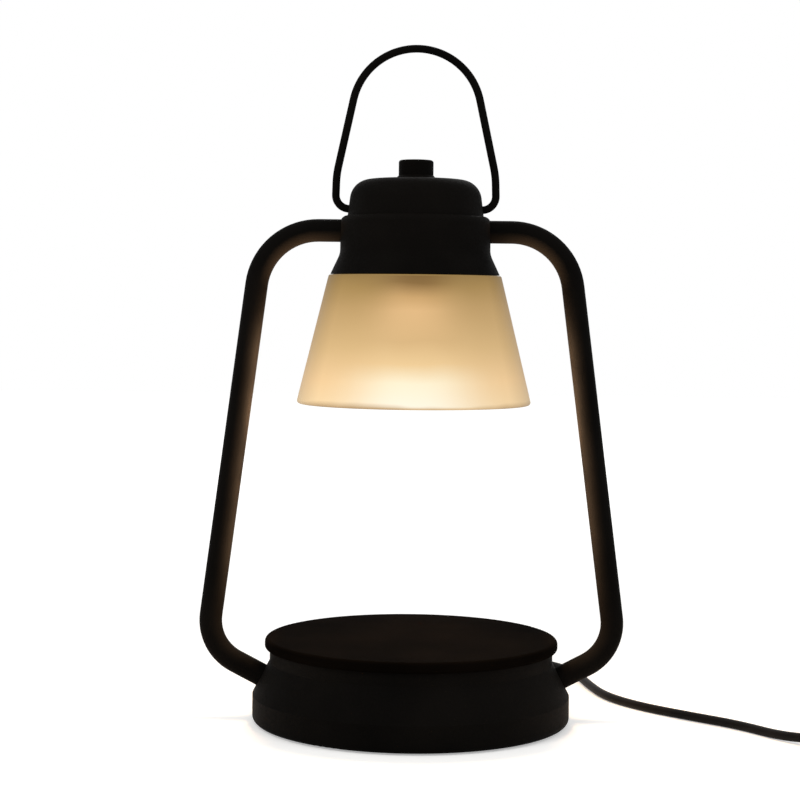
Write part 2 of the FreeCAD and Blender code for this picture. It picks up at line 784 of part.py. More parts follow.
holder_bracket = cut("holder_bracket", bracket_body, rod_hole, *wing_holes, *holder_holes)
holder_screws = group("holder_screws", *holder_heads)

tie_rod = rod("tie_rod", "bolt_radius", f"{dome_z} + knob_bore - loose_gap - {strap_z}", z=strap_z)
rod_nut = seat(hexNut("rod_nut", "bolt_radius + fit_gap", "nut_flat", "nut_flat_height"),
               z=f"{strap_z} + bracket_wall")

# Lamp holder: a ceramic cylinder with two curved slots that the bulb's pins turn in.
holder_blank = turned("holder_blank", [
    ("0", holder_z),
    ("holder_radius", holder_z),
    ("holder_radius", strap_z),
    ("0", strap_z),
], [(1, "sheet_wall")])
slot_low = f"({holder_z} - pin_slot_depth)"
slot_depth = "(pin_slot_depth * 2)"
slot_core = rod("slot_core", "pin_spread - pin_slot", f"{slot_depth} * 2", z=f"{slot_low} - pin_slot_depth")
slots = []
for side, start in (("right", 0), ("left", 180)):
    # the slots run one way about Z here and are mirrored below, so that the bulb unlocks clockwise from above
    sector = rod(f"slot_sector_{side}", "pin_spread + pin_slot", slot_depth, z=slot_low)
    sector.Placement.Rotation = FreeCAD.Rotation(start, 0, 0)
    bind(sector, {"Angle": "pin_turn"})
    slots.append(cut(f"slot_curve_{side}", sector, slot_core))
    for end, angle in (("locked", f"{start}"), ("free", f"({start} + pin_turn)")):
        slots.append(rod(f"slot_{end}_{side}", "pin_slot", slot_depth, x=f"pin_spread * cos({angle})",
                         y=f"pin_spread * sin({angle})", z=slot_low))
lead_socket = rod("lead_socket", "wire_radius + fit_gap", "holder_radius", x="holder_radius - holder_socket",
                  z=arm_z, along="X")
turned_slots = mirrored("turned_slots", fuse("slot_pair", *slots), (0, 1, 0))
lamp_holder = cut("lamp_holder", holder_blank, lead_socket, turned_slots, *holder_holes)

# Shade carrier: two posts hang it from the ledge, and its tube holds the glass between a gasket and a ring.
flange_z = f"({glass_z} + carrier_wall)"
posts, heads = [], []
for side, sign in (("front", "-1"), ("back", "1")):
    y = f"{sign} * post_place"
    stem = rod(f"post_stem_{side}", "post_radius", f"{wing_z} - {flange_z}", y=y, z=flange_z)
    bore = rod(f"post_bore_{side}", screw_hole, f"({wing_z} - {flange_z}) * 2", y=y,
               z=f"{flange_z} - post_radius")
    posts.append(cut(f"post_{side}", stem, bore))
    heads.append(screw(f"post_screw_top_{side}", "0", y, head_top, "post_screw_length"))
carrier_posts = group("carrier_posts", *posts)
post_screws = group("post_screws", *heads)

shade_carrier = turned("shade_carrier", [
    ("carrier_tube - carrier_tube_wall", f"{glass_z} - carrier_tube_length"),
    ("carrier_tube", f"{glass_z} - carrier_tube_length"),
    ("carrier_tube", glass_z),
    ("carrier_radius", glass_z),
    ("carrier_radius", flange_z),
    ("carrier_tube - carrier_tube_wall", flange_z),
])
shade_gasket = turned("shade_gasket", [
    ("carrier_tube + fit_gap", f"{lip_z} - gasket_height"),
    ("ring_radius", f"{lip_z} - gasket_height"),
    ("ring_radius", lip_z),
    ("carrier_tube + fit_gap", lip_z),
])
shade_ring = turned("shade_ring", [
    ("carrier_tube + fit_gap", f"{lip_z} - gasket_height - ring_height"),
    ("ring_radius", f"{lip_z} - gasket_height - ring_height"),
    ("ring_radius", f"{lip_z} - gasket_height"),
    ("carrier_tube + fit_gap", f"{lip_z} - gasket_height"),
], [(1, "ring_height / 4")])

# Glass shade: a frosted cone with an inward lip on top and a rounded lower rim.
rim_z = f"({glass_z} - glass_length)"
glass_shade = turned("glass_shade", [
    ("glass_hole", lip_z),
    ("glass_hole", glass_z),
    ("glass_top", glass_z),
    ("glass_bottom", rim_z),
    ("glass_bottom - glass_wall", rim_z),
    ("glass_top - glass_wall + (glass_bottom - glass_top) * glass_wall / glass_length", lip_z),
], [(2, "glass_shoulder"), (3, "glass_rim"), (4, "glass_rim")])

# Dome cap, with the two holes that the bail turns in, and the knob that holds it down.
dome_blank = turned("dome_blank", [
    ("bolt_radius + loose_gap", f"{dome_z} - sheet_wall"),
    ("dome_top - sheet_wall", f"{dome_z} - sheet_wall"),
    ("dome_foot - sheet_wall", head_top),
    ("dome_foot", head_top),
    ("dome_top", dome_z),
    ("bolt_radius + loose_gap", dome_z),
], [(1, "dome_round - sheet_wall"), (4, "dome_round")])
bail_holes = rod("bail_holes", "bail_hole", "dome_foot * 2.4", x="-dome_foot * 1.2", z=pivot_z, along="X")
dome_cap = cut("dome_cap", dome_blank, bail_holes)
top_knob = turned("top_knob", [
    ("bolt_radius + fit_gap", dome_z),
    ("knob_collar", dome_z),
    ("knob_collar", f"{dome_z} + collar_edge"),
    ("knob_radius", f"{dome_z} + collar_height"),
    ("knob_radius", f"{dome_z} + knob_height"),
    ("0", f"{dome_z} + knob_height"),
    ("0", f"{dome_z} + knob_bore"),
    ("bolt_radius + fit_gap", f"{dome_z} + knob_bore"),
], [(4, "knob_round")])

# Bulb: a glass reflector on a ceramic base, a lens in front, a capsule inside and two headed pins on top.
bulb_reflector = turned("bulb_reflector", [
    ("bulb_radius", bulb_z),
    ("bulb_radius", f"{bulb_z} + bulb_rim"),
    ("bulb_belly", f"{bulb_z} + bulb_belly_place"),
    ("bulb_waist", f"{bulb_z} + bulb_waist_place"),
    ("bulb_neck", neck_z),
    ("bulb_neck - bulb_wall", neck_z),
    ("bulb_waist - bulb_wall", f"{bulb_z} + bulb_waist_place - bulb_wall / 2"),
    ("bulb_belly - bulb_wall", f"{bulb_z} + bulb_belly_place"),
    ("bulb_radius - bulb_wall", f"{bulb_z} + bulb_rim"),
    ("bulb_radius - bulb_wall", bulb_z),
], [(0, "bulb_wall / 3")])
bulb_lens = turned("bulb_lens", [
    ("0", f"{bulb_z} + loose_gap"),
    ("bulb_radius - bulb_wall - fit_gap", f"{bulb_z} + loose_gap"),
    ("bulb_radius - bulb_wall - fit_gap", f"{bulb_z} + loose_gap + lens_wall"),
    ("0", f"{bulb_z} + loose_gap + lens_wall"),
])
plug_radius = "(bulb_neck - bulb_wall - fit_gap)"
bulb_base = turned("bulb_base", [
    ("0", f"{neck_z} - base_plug"),
    (plug_radius, f"{neck_z} - base_plug"),
    (plug_radius, neck_z),
    ("base_radius", neck_z),
    ("base_radius", base_z),
    ("0", base_z),
], [(4, "base_radius / 10")])
capsule_z = f"({neck_z} - base_plug - capsule_length)"
bulb_capsule = turned("bulb_capsule", [
    ("0", capsule_z),
    ("capsule_radius", capsule_z),
    ("capsule_radius", f"{neck_z} - base_plug"),
    ("0", f"{neck_z} - base_plug"),
], [(1, "capsule_radius * 0.9")])
pins = []
for side, sign in (("left", "-1"), ("right", "1")):
    x = f"{sign} * pin_spread"
    neck = rod(f"pin_neck_{side}", "pin_radius", "pin_length", x=x, z=base_z)
    head = rod(f"pin_head_{side}", "pin_head", "pin_head_length", x=x,
               z=f"{base_z} + pin_length - pin_head_length")
    pins.append(fuse(f"pin_{side}", neck, head))
bulb_pins = group("bulb_pins", *pins)

# Bail: round wire whose level ends turn in the dome's holes, each kept there by a clip.
bail_handle = bent("bail_handle", [
    ("-bail_end", pivot_z),
    ("-bail_foot", pivot_z),
    ("-bail_side", f"{pivot_z} + bail_side_rise"),
    ("0", f"{pivot_z} + bail_rise"),
    ("bail_side", f"{pivot_z} + bail_side_rise"),
    ("bail_foot", pivot_z),
    ("bail_end", pivot_z),
], ["bail_hook", "bail_sweep", "bail_arch", "bail_sweep", "bail_hook"], "bail_wire")
right_clip = seat(washer("right_clip", "bail_wire + fit_gap", "clip_radius", "clip_height"),
                  "bail_end + clip_height / 2", 0, pivot_z, "X")
bail_clips = group("bail_clips", right_clip, mirrored("left_clip", right_clip))

# Inline dimmer: two half shells, a board with the control, and a knob on the control's shaft.
dim_x = "dimmer_across"
dim_y = "dimmer_back"
inner_length = "(dimmer_length - 2 * dimmer_wall)"
inner_width = "(dimmer_width - 2 * dimmer_wall)"
low_shell = seat(padded("dimmer_low_shell", "dimmer_length", "dimmer_width", "0", "dimmer_height / 2",
                        "dimmer_round", "dimmer_edge", -1), dim_x, dim_y)
high_shell = seat(padded("dimmer_high_shell", "dimmer_length", "dimmer_width", "dimmer_height / 2",
                         "dimmer_height / 2", "dimmer_round", "dimmer_edge", 1), dim_x, dim_y)
low_hollow = seat(padded("dimmer_low_hollow", inner_length, inner_width, "dimmer_wall", "dimmer_height",
                         "dimmer_round - dimmer_wall"), dim_x, dim_y)
high_hollow = seat(padded("dimmer_high_hollow", inner_length, inner_width, "0", "dimmer_height - dimmer_wall",
                          "dimmer_round - dimmer_wall"), dim_x, dim_y)
boot_tunnel = rod("boot_tunnel", "dimmer_boot_root - sheet_wall / 2 + fit_gap", "dimmer_length * 1.2",
                  x=f"{dim_x} - dimmer_length * 0.6", y=dim_y, z="dimmer_wire", along="X")
shaft_hole = rod("shaft_hole", "shaft_radius + loose_gap", "dimmer_height", x=dim_x, y=dim_y,
                 z="dimmer_height / 2")
pillars, case_holes, case_heads = [], [], []
for side, sign in (("left", "-1"), ("right", "1")):
    x = f"{dim_x} + {sign} * case_screw_place"
    y = f"{dim_y} + {sign} * case_screw_side"
    pillars.append(rod(f"case_pillar_{side}", "screw_head + fit_gap", "dimmer_height - dimmer_wall * 1.5",
                       x=x, y=y, z="dimmer_wall"))
    case_holes.append(rod(f"case_hole_{side}", screw_hole, "dimmer_height - dimmer_wall", x=x, y=y,
                          z="-dimmer_wall"))
    case_heads.append(screw(f"case_screw_{side}", x, y, "screw_head_height", "dimmer_height / 2", "down"))
recess = [rod(f"case_recess_{side}", "screw_head + fit_gap", "screw_head_height * 2",
              x=f"{dim_x} + {sign} * case_screw_place", y=f"{dim_y} + {sign} * case_screw_side",
              z="-screw_head_height")
          for side, sign in (("left", "-1"), ("right", "1"))]
dimmer_base = cut("dimmer_base", low_shell, low_hollow, boot_tunnel, *case_holes, *recess)
dimmer_top_shell = cut("dimmer_top_shell", high_shell, high_hollow)
dimmer_top = cut("dimmer_top", fuse("dimmer_top_solid", dimmer_top_shell, *pillars), boot_tunnel, shaft_hole,
                 *case_holes)
dimmer_screws = group("dimmer_screws", *case_heads)

board_blank = block("board_blank", "2 * case_screw_place", f"{inner_width} - board_margin", "board_wall",
                    x=dim_x, y=dim_y, z="board_height")
dimmer_board = cut("dimmer_board", board_blank, *pillars)
control_z = "(board_height + board_wall)"
shaft_z = f"({control_z} + control_height - shaft_radius)"
control_body = block("control_body", "control_size", "control_size", "control_height", x=dim_x, y=dim_y,
                     z=control_z)
control_bore = rod("control_bore", "shaft_radius + fit_gap", "control_height", x=dim_x, y=dim_y, z=shaft_z)
dimmer_control = cut("dimmer_control", control_body, control_bore)
dimmer_shaft = rod("dimmer_shaft", "shaft_radius", "shaft_length + shaft_radius - fit_gap", x=dim_x, y=dim_y,
                   z=f"{shaft_z} + fit_gap")
knob_low = "(dimmer_height + loose_gap)"
knob_top = f"({knob_low} + knob_wheel_height)"
knob_blank = seat(turned("dimmer_knob_blank", [
    ("shaft_radius", knob_low),
    ("knob_wheel", knob_low),
    ("knob_wheel", knob_top),
    ("0", knob_top),
    ("0", f"{control_z} + control_height + shaft_length"),
    ("shaft_radius", f"{control_z} + control_height + shaft_length"),
], [(2, "knob_wheel_edge")]), dim_x, dim_y)
pointer = block("knob_pointer", "pointer_width", "pointer_length", "pointer_width", x=dim_x,
                y=f"{dim_y} + knob_wheel - pointer_length / 2", z=f"{knob_top} - pointer_width / 2")
dimmer_knob = cut("dimmer_knob", knob_blank, pointer)


def caseBoot(name, x, outward):
    # a tapered boot with a flange inside the case wall, pointing out of the case along +X or -X
    boot = turned(name, [
        ("0", "-(dimmer_wall + sheet_wall)"),
        ("dimmer_boot_root + sheet_wall", "-(dimmer_wall + sheet_wall)"),
        ("dimmer_boot_root + sheet_wall", "-dimmer_wall"),
        ("dimmer_boot_root - sheet_wall / 2", "-dimmer_wall"),
        ("dimmer_boot_root - sheet_wall / 2", "0"),
        ("dimmer_boot_root", "0"),
        ("boot_tip", "dimmer_boot"),
        ("wire_radius + fit_gap", "dimmer_boot"),
        ("wire_radius + fit_gap", "dimmer_boot - boot_grip"),
        ("0", "dimmer_boot - boot_grip"),
    ])
    seat(boot, x, dim_y, "dimmer_wire", "X")
    if outward < 0:
        boot.Placement.Rotation = FreeCAD.Rotation(FreeCAD.Vector(0, 1, 0), -90)
    return boot


dimmer_boots = group("dimmer_boots", caseBoot("case_boot_left", f"{dim_x} - dimmer_length / 2", -1),
                     caseBoot("case_boot_right", f"{dim_x} + dimmer_length / 2", 1))

# Lead: its points are chosen by hand. It leaves the boot to the back, comes round on the table to the right
# front and rises into the dimmer; behind the dimmer it is wound into a tied coil, and it ends in the plug.
floor_z = wire_radius
dimmer_z = number("dimmer_wire")
dimmer_y = number(dim_y)
boot_reach = number("dimmer_length / 2 + dimmer_boot - boot_grip")
left_end = number(dim_x) - boot_reach
right_end = number(dim_x) + boot_reach
power_cord = lead("power_cord", [
    (0, boot_end, wire_z),
    (0, 104, wire_z),
    (5, 120, 4.5),
    (17, 134, floor_z),
    (36, 141, floor_z),
    (57, 137, floor_z),
    (74, 122, floor_z),
    (83, 99, floor_z),
    (86, 72, floor_z),
    (91, 46, floor_z),
    (102, 20, floor_z),
    (122, 0, floor_z),
    (143, -13.5, floor_z),
    (158, -36, floor_z),
    (175, -54, 5),
    (192, dimmer_y, dimmer_z),
    (left_end, dimmer_y, dimmer_z),
], wire_radius)
plug_cord = lead("plug_cord", [
    (right_end, dimmer_y, dimmer_z),
    (299, dimmer_y, dimmer_z),
    (316, -52, 5),
    (325, -38, floor_z),
    (326, -21, floor_z),
    (323, -5, floor_z),
    (320.8, 10, 2.6),
], wire_radius)
plug_axis = number("plug_height / 2")
plug_y = number("plug_back")
plug_cord_end = lead("plug_cord_end", [
    (287, 40.2, 7.1),
    (274, 41.6, 7.7),
    (261, plug_y, plug_axis),
    (number("plug_across + plug_length / 2 + plug_boot - boot_grip"), plug_y, plug_axis),
], wire_radius)

coil_low = "tie_wall"
coil_top = "(tie_wall + coil_height)"
cord_coil = seat(turned("cord_coil", [
    ("coil_middle - coil_width / 2", coil_low),
    ("coil_middle + coil_width / 2", coil_low),
    ("coil_middle + coil_width / 2", coil_top),
    ("coil_middle - coil_width / 2", coil_top),
], [(corner, "coil_round") for corner in range(4)]), "coil_across", "coil_back")
tie_blank = block("tie_blank", "coil_width + 2 * tie_wall", "tie_width", "coil_height + 2 * tie_wall",
                  x="coil_across - coil_middle", y="coil_back", z="0")
tie_core = block("tie_core", "coil_width", "tie_width * 2", "coil_height", x="coil_across - coil_middle",
                 y="coil_back", z="tie_wall")
cord_tie = cut("cord_tie", tie_blank, tie_core, cord_coil)

plug_start = "(plug_across + plug_length / 2)"
plug_face = "(plug_across - plug_length / 2)"
plug_shell = seat(padded("plug_shell", "plug_length", "plug_width", "0", "plug_height", "plug_round",
                         "plug_edge"), "plug_across", "plug_back")
plug_taper = seat(turned("plug_taper", [
    ("0", "-plug_round"),
    ("plug_height / 3", "-plug_round"),
    ("plug_height / 3", "0"),
    ("boot_tip", "plug_boot"),
    ("0", "plug_boot"),
]), plug_start, "plug_back", "plug_height / 2", "X")
plug_bore = rod("plug_bore", "wire_radius + fit_gap", "boot_grip * 2",
                x=f"{plug_start} + plug_boot - boot_grip", y="plug_back", z="plug_height / 2", along="X")
blades = [block(f"blade_{side}", "blade_length * 1.4", "blade_wall", "blade_width",
                x=f"{plug_face} - blade_length * 0.3", y=f"plug_back + {sign} * blade_spread / 2",
                z="plug_height / 2 - blade_width / 2")
          for side, sign in (("front", "-1"), ("back", "1"))]
plug_blades = group("plug_blades", *blades)
plug_body = cut("plug_body", fuse("plug_solid", plug_shell, plug_taper), plug_bore, *blades)

clamp_screws = group("clamp_screws", *clamp_screws)
terminal_screws = group("terminal_screws", *terminal_screws)

keep(base_tank, candle_tray, base_weight, bottom_cover, foot_ring, centre_bolt)
keep(cord_boot, inlet_lead, cord_clamp, clamp_screws, terminal_block, terminal_screws)
keep(left_arm, right_arm, foot_washers, foot_nuts, arm_saddles, saddle_screws, inner_lead)
keep(head_shell, holder_bracket, lamp_holder, holder_screws, tie_rod, rod_nut)
keep(carrier_posts, post_screws, shade_carrier, shade_gasket, shade_ring, glass_shade, dome_cap, top_knob)
keep(bulb_base, bulb_pins, bulb_reflector, bulb_lens, bulb_capsule, bail_handle, bail_clips)
keep(power_cord, dimmer_base, dimmer_top, dimmer_board, dimmer_control, dimmer_screws, dimmer_boots)
keep(dimmer_shaft, dimmer_knob, plug_cord, cord_coil, cord_tie, plug_cord_end, plug_body, plug_blades)

doc.recompute()
for thing in doc.Objects:
    if {"Invalid", "Error"} & set(thing.State):
        raise RuntimeError(f"{thing.Name} failed: {thing.State}")
for part in parts:
    if part.Shape.isNull() or not part.Shape.isValid() or not part.Shape.Solids:
        raise RuntimeError(f"{part.Label} has no valid solid")

os.makedirs("parts", exist_ok=True)
for part in parts:
    part.Shape.exportStep(f"parts/{part.Label}.step")
print(len(parts), "sub-parts written")
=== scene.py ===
import json
import math

import bpy
import numpy as np
from mathutils import Matrix, Vector


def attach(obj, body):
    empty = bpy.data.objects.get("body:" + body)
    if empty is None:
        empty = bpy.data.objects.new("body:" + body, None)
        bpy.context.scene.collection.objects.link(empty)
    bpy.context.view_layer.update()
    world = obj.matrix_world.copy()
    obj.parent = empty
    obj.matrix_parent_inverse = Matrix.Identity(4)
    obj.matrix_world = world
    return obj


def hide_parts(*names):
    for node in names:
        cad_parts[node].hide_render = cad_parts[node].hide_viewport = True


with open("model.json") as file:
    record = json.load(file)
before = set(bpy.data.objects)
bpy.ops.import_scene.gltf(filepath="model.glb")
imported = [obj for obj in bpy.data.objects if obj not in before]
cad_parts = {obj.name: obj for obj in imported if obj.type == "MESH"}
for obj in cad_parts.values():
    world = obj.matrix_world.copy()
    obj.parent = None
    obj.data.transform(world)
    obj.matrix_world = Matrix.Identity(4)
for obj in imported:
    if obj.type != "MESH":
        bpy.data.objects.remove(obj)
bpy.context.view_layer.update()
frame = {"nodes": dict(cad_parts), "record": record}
nodes = frame["nodes"]
print("frame loaded:", len(nodes), "pieces")

noiseSpan = (0.3, 0.7)  # most of a noise texture lies between these two values


# small helpers for objects and shader nodes
def placeObject(name, data):
    # a new object in the scene
    placed = bpy.data.objects.new(name, data)
    bpy.context.scene.collection.objects.link(placed)
    return placed


def feed(tree, socket, value):
    # a link, a colour of three channels or a plain value into one socket
    if isinstance(value, bpy.types.NodeSocket):
        tree.links.new(value, socket)
    elif socket.type == "RGBA":
        socket.default_value = (*value, 1.0)
    else:
        socket.default_value = value


def addNode(tree, kind, values=None, **settings):
    # one shader node: its settings first, then a value or a link into each input
    node = tree.nodes.new("ShaderNode" + kind)
    for key, value in settings.items():
        setattr(node, key, value)
    for key, value in (values or {}).items():
        feed(tree, node.inputs[key], value)
    return node


def startGroup(name, inputs, outputs):
    # an empty shader group with named sockets, and its two ends
    tree = bpy.data.node_groups.new(name, "ShaderNodeTree")
    for label, kind, value in inputs:
        socket = tree.interface.new_socket(
            label, in_out="INPUT", socket_type="NodeSocket" + kind)
        if value is not None:
            socket.default_value = value
    for label in outputs:
        tree.interface.new_socket(label, in_out="OUTPUT", socket_type="NodeSocketFloat")
    return tree, tree.nodes.new("NodeGroupInput"), tree.nodes.new("NodeGroupOutput")


def startMaterial(name):
    # a material with its shader and its object coordinates
    material = bpy.data.materials.new(name)
    material.use_nodes = True
    tree = material.node_tree
    place = addNode(tree, "TexCoord").outputs["Object"]
    return material, tree, tree.nodes["Principled BSDF"], place


def setShader(tree, shader, **values):
    # underscores in a name stand for the spaces of the socket's label
    for key, value in values.items():
        feed(tree, shader.inputs[key.replace("_", " ")], value)


def rampNode(tree, factor, stops):
    # a colour ramp from a list of (position, colour)
    ramp = addNode(tree, "ValToRGB", {"Fac": factor})
    points = ramp.color_ramp.elements
    while len(points) < len(stops):
        points.new(0.5)
    for point, (position, colour) in zip(points, stops):
        point.position = position
        point.color = (*colour, 1.0)
    return ramp.outputs["Color"]


def rangeNode(tree, value, fromSpan, toSpan=(0.0, 1.0)):
    # a value carried from one span to another, and kept inside it
    return addNode(tree, "MapRange", {
        "Value": value, "From Min": fromSpan[0], "From Max": fromSpan[1],
        "To Min": toSpan[0], "To Max": toSpan[1]}).outputs["Result"]


def noiseNode(tree, place, scale, detail, **more):
    values = {"Vector": place, "Scale": scale, "Detail": detail, **more}
    return addNode(tree, "TexNoise", values).outputs["Fac"]


def mathNode(tree, operation, first, second):
    return addNode(tree, "Math", {0: first, 1: second}, operation=operation).outputs[0]


def mixColours(tree, factor, first, second):
    # the colour mix node has its factor at 0 and its two colours at 6 and 7
    values = {0: factor, 6: first, 7: second}
    return addNode(tree, "Mix", values, data_type="RGBA").outputs[2]


# surface effects that the finishes share
skinGrain = {
    "scales": {"Coarse": 700.0, "Fine": 2600.0, "Broad": 18.0},
    "details": {"Coarse": 2.0, "Fine": 1.0, "Broad": 3.0},
    "sumSpan": (0.6, 1.4),
}
restingDust = {
    "patches": 60.0,
    "amount": 0.3,
    "upward": (0.35, 1.0),  # how far a face looks up before dust lies on it
    "detail": 4.0,
    "roughness": 0.65,
    "patchSpan": (0.35, 0.75),
    "patchShare": (0.1, 1.0),
}
turnedRings = {"rings": 900.0, "detail": 2.0}


def makeGrainGroup():
    # coarse and fine noise added, for a sprayed or moulded skin, and a broad noise for its tone
    scales = [(label, "Float", scale) for label, scale in skinGrain["scales"].items()]
    tree, start, end = startGroup(
        "skinGrain", [("Place", "Vector", None)] + scales, ["Height", "Shade"])
    coarse, fine, broad = [
        noiseNode(tree, start.outputs["Place"], start.outputs[label], detail)
        for label, detail in skinGrain["details"].items()]
    height = mathNode(tree, "ADD", coarse, fine)
    feed(tree, end.inputs["Height"], rangeNode(tree, height, skinGrain["sumSpan"]))
    feed(tree, end.inputs["Shade"], rangeNode(tree, broad, noiseSpan))
    return tree


def makeDustGroup():
    # dust lies in patches where a face looks up: upward share times patch times amount
    tree, start, end = startGroup(
        "restingDust",
        [("Place", "Vector", None), ("Patch Scale", "Float", restingDust["patches"]),
         ("Amount", "Float", restingDust["amount"])],
        ["Mask"])
    normal = addNode(tree, "NewGeometry").outputs["Normal"]
    facing = addNode(tree, "SeparateXYZ", {"Vector": normal}).outputs["Z"]
    upward = rangeNode(tree, facing, restingDust["upward"])
    patch = noiseNode(tree, start.outputs["Place"], start.outputs["Patch Scale"],
                      restingDust["detail"], Roughness=restingDust["roughness"])
    patch = rangeNode(tree, patch, restingDust["patchSpan"], restingDust["patchShare"])
    both = mathNode(tree, "MULTIPLY", upward, patch)
    feed(tree, end.inputs["Mask"], mathNode(tree, "MULTIPLY", both, start.outputs["Amount"]))
    return tree


def makeTurningGroup():
    # fine rings as a lathe leaves: noise along the radius plus the height
    tree, start, end = startGroup(
        "turnedRings",
        [("Place", "Vector", None), ("Rings", "Float", turnedRings["rings"])],
        ["Height"])
    flat = addNode(tree, "VectorMath", {0: start.outputs["Place"], 1: (1.0, 1.0, 0.0)},
                   operation="MULTIPLY").outputs["Vector"]
    radius = addNode(tree, "VectorMath", {0: flat}, operation="LENGTH").outputs["Value"]
    rise = addNode(tree, "SeparateXYZ", {"Vector": start.outputs["Place"]}).outputs["Z"]
    along = addNode(tree, "CombineXYZ", {"X": mathNode(tree, "ADD", radius, rise)})
    rings = noiseNode(tree, along.outputs["Vector"], start.outputs["Rings"],
                      turnedRings["detail"])
    feed(tree, end.inputs["Height"], rings)
    return tree


grainGroup = makeGrainGroup()
dustGroup = makeDustGroup()
turningGroup = makeTurningGroup()
print("shared surface effects made")


def addGrain(tree, place, scales):
    values = {"Place": place, **dict(zip(skinGrain["scales"], scales))}
    return addNode(tree, "Group", values, node_tree=grainGroup).outputs


def setSkin(tree, shader, colour, height, skin, span=(0.0, 1.0)):
    # colour, roughness that follows the height, and the height as a bump of strength and depth
    strength, depth = skin["bump"]
    bump = addNode(tree, "Bump", {"Height": height, "Strength": strength, "Distance": depth})
    setShader(tree, shader, Base_Color=colour, Normal=bump.outputs["Normal"],
              Roughness=rangeNode(tree, height, span, skin["roughness"]))


# coats and mouldings
powderCoat = {
    "name": "blackPowderCoat",
    "dark": (0.0016, 0.0014, 0.0012),
    "light": (0.0044, 0.0037, 0.0031),
    "dust": (0.021, 0.016, 0.012),
    "dustAmount": 0.06,
    "patches": 70.0,  # scale of the dust's patches
    "roughness": (0.56, 0.74),  # in the grain's hollows and on its tops
    "specular": 0.016,
    "grain": (760.0, 2400.0, 22.0),  # scales of the coarse, the fine and the broad noise
    "bump": (0.45, 0.00009),  # strength and depth in metres
}
# the black coat again, darker and browner: painted shade and a painted warm tint of the bulb's
# light on the tray
trayCoatPaintedWarmShade = {
    "name": "trayCoatPaintedWarmShade",
    "dark": (0.0009, 0.0006, 0.0004),
    "light": (0.0032, 0.0022, 0.0015),
    "dust": (0.015, 0.010, 0.006),
    "dustAmount": 0.05,
    "patches": 70.0,
    "roughness": (0.86, 0.97),
    "specular": 0.004,
    "grain": (760.0, 2400.0, 22.0),
    "bump": (0.45, 0.00007),
}
moulding = {  # what the moulded finishes share
    "dustAmount": 0.15,
    "dustShare": 0.6,  # the dust's colour is this share of the light tone, plus the lift
    "dustLift": 0.06,
    "patches": 160.0,
    "grain": (1300.0, 4200.0, 55.0),
    "strength": 0.4,
}
mouldings = {
    "black_rubber": {
        "name": "blackRubber", "dark": (0.005, 0.005, 0.005), "light": (0.011, 0.010, 0.009),
        "roughness": (0.60, 0.80), "specular": 0.12, "depth": 0.00006, "dustAmount": 0.06},
    "cord_jacket": {
        "name": "cordJacket", "dark": (0.003, 0.003, 0.003), "light": (0.007, 0.006, 0.006),
        "roughness": (0.46, 0.62), "specular": 0.05, "depth": 0.00003, "dustAmount": 0.02},
    "wire_sleeve": {
        "name": "wireSleeve", "dark": (0.35, 0.30, 0.22), "light": (0.55, 0.50, 0.40),
        "roughness": (0.40, 0.55), "specular": 0.35, "depth": 0.00003},
    "silicone": {
        "name": "silicone", "dark": (0.14, 0.105, 0.06), "light": (0.22, 0.165, 0.10),
        "roughness": (0.50, 0.65), "specular": 0.15, "depth": 0.00004, "dustAmount": 0.0},
    "ceramic": {
        "name": "ceramic", "dark": (0.62, 0.59, 0.53), "light": (0.78, 0.75, 0.69),
        "roughness": (0.30, 0.55), "specular": 0.50, "depth": 0.00005},
    "dark_plastic": {
        "name": "darkPlastic", "dark": (0.006, 0.006, 0.006), "light": (0.012, 0.011, 0.011),
        "roughness": (0.44, 0.62), "specular": 0.20, "depth": 0.00005, "dustAmount": 0.08},
    "knob_plastic": {
        "name": "knobPlastic", "dark": (0.012, 0.012, 0.012), "light": (0.024, 0.022, 0.020),
        "roughness": (0.34, 0.50), "specular": 0.34, "depth": 0.00004},
    "white_plastic": {
        "name": "whitePlastic", "dark": (0.60, 0.58, 0.53), "light": (0.74, 0.72, 0.68),
        "roughness": (0.38, 0.52), "specular": 0.45, "depth": 0.00004},
    "tie_plastic": {
        "name": "tiePlastic", "dark": (0.010, 0.010, 0.010), "light": (0.020, 0.020, 0.020),
        "roughness": (0.30, 0.42), "specular": 0.40, "depth": 0.00003},
}


def makeCoat(coat):
    # a sprayed or moulded skin: a slow change of tone, a fine grain and a little dust
    material, tree, shader, place = startMaterial(coat["name"])
    grain = addGrain(tree, place, coat["grain"])
    dust = addNode(tree, "Group", {
        "Place": place, "Patch Scale": coat["patches"], "Amount": coat["dustAmount"]},
        node_tree=dustGroup).outputs["Mask"]
    tone = mixColours(tree, grain["Shade"], coat["dark"], coat["light"])
    dusty = mixColours(tree, dust, tone, coat["dust"])
    setSkin(tree, shader, dusty, grain["Height"], coat)
    setShader(tree, shader, Specular_IOR_Level=coat["specular"])
    return material


def makeMoulded(skin):
    # plastic, rubber, silicone or ceramic, whose dust is a greyer tone of its own
    coat = {**moulding, **skin}
    coat["dust"] = tuple(
        moulding["dustShare"] * channel + moulding["dustLift"] for channel in coat["light"])
    coat["bump"] = (coat["strength"], coat["depth"])
    return makeCoat(coat)


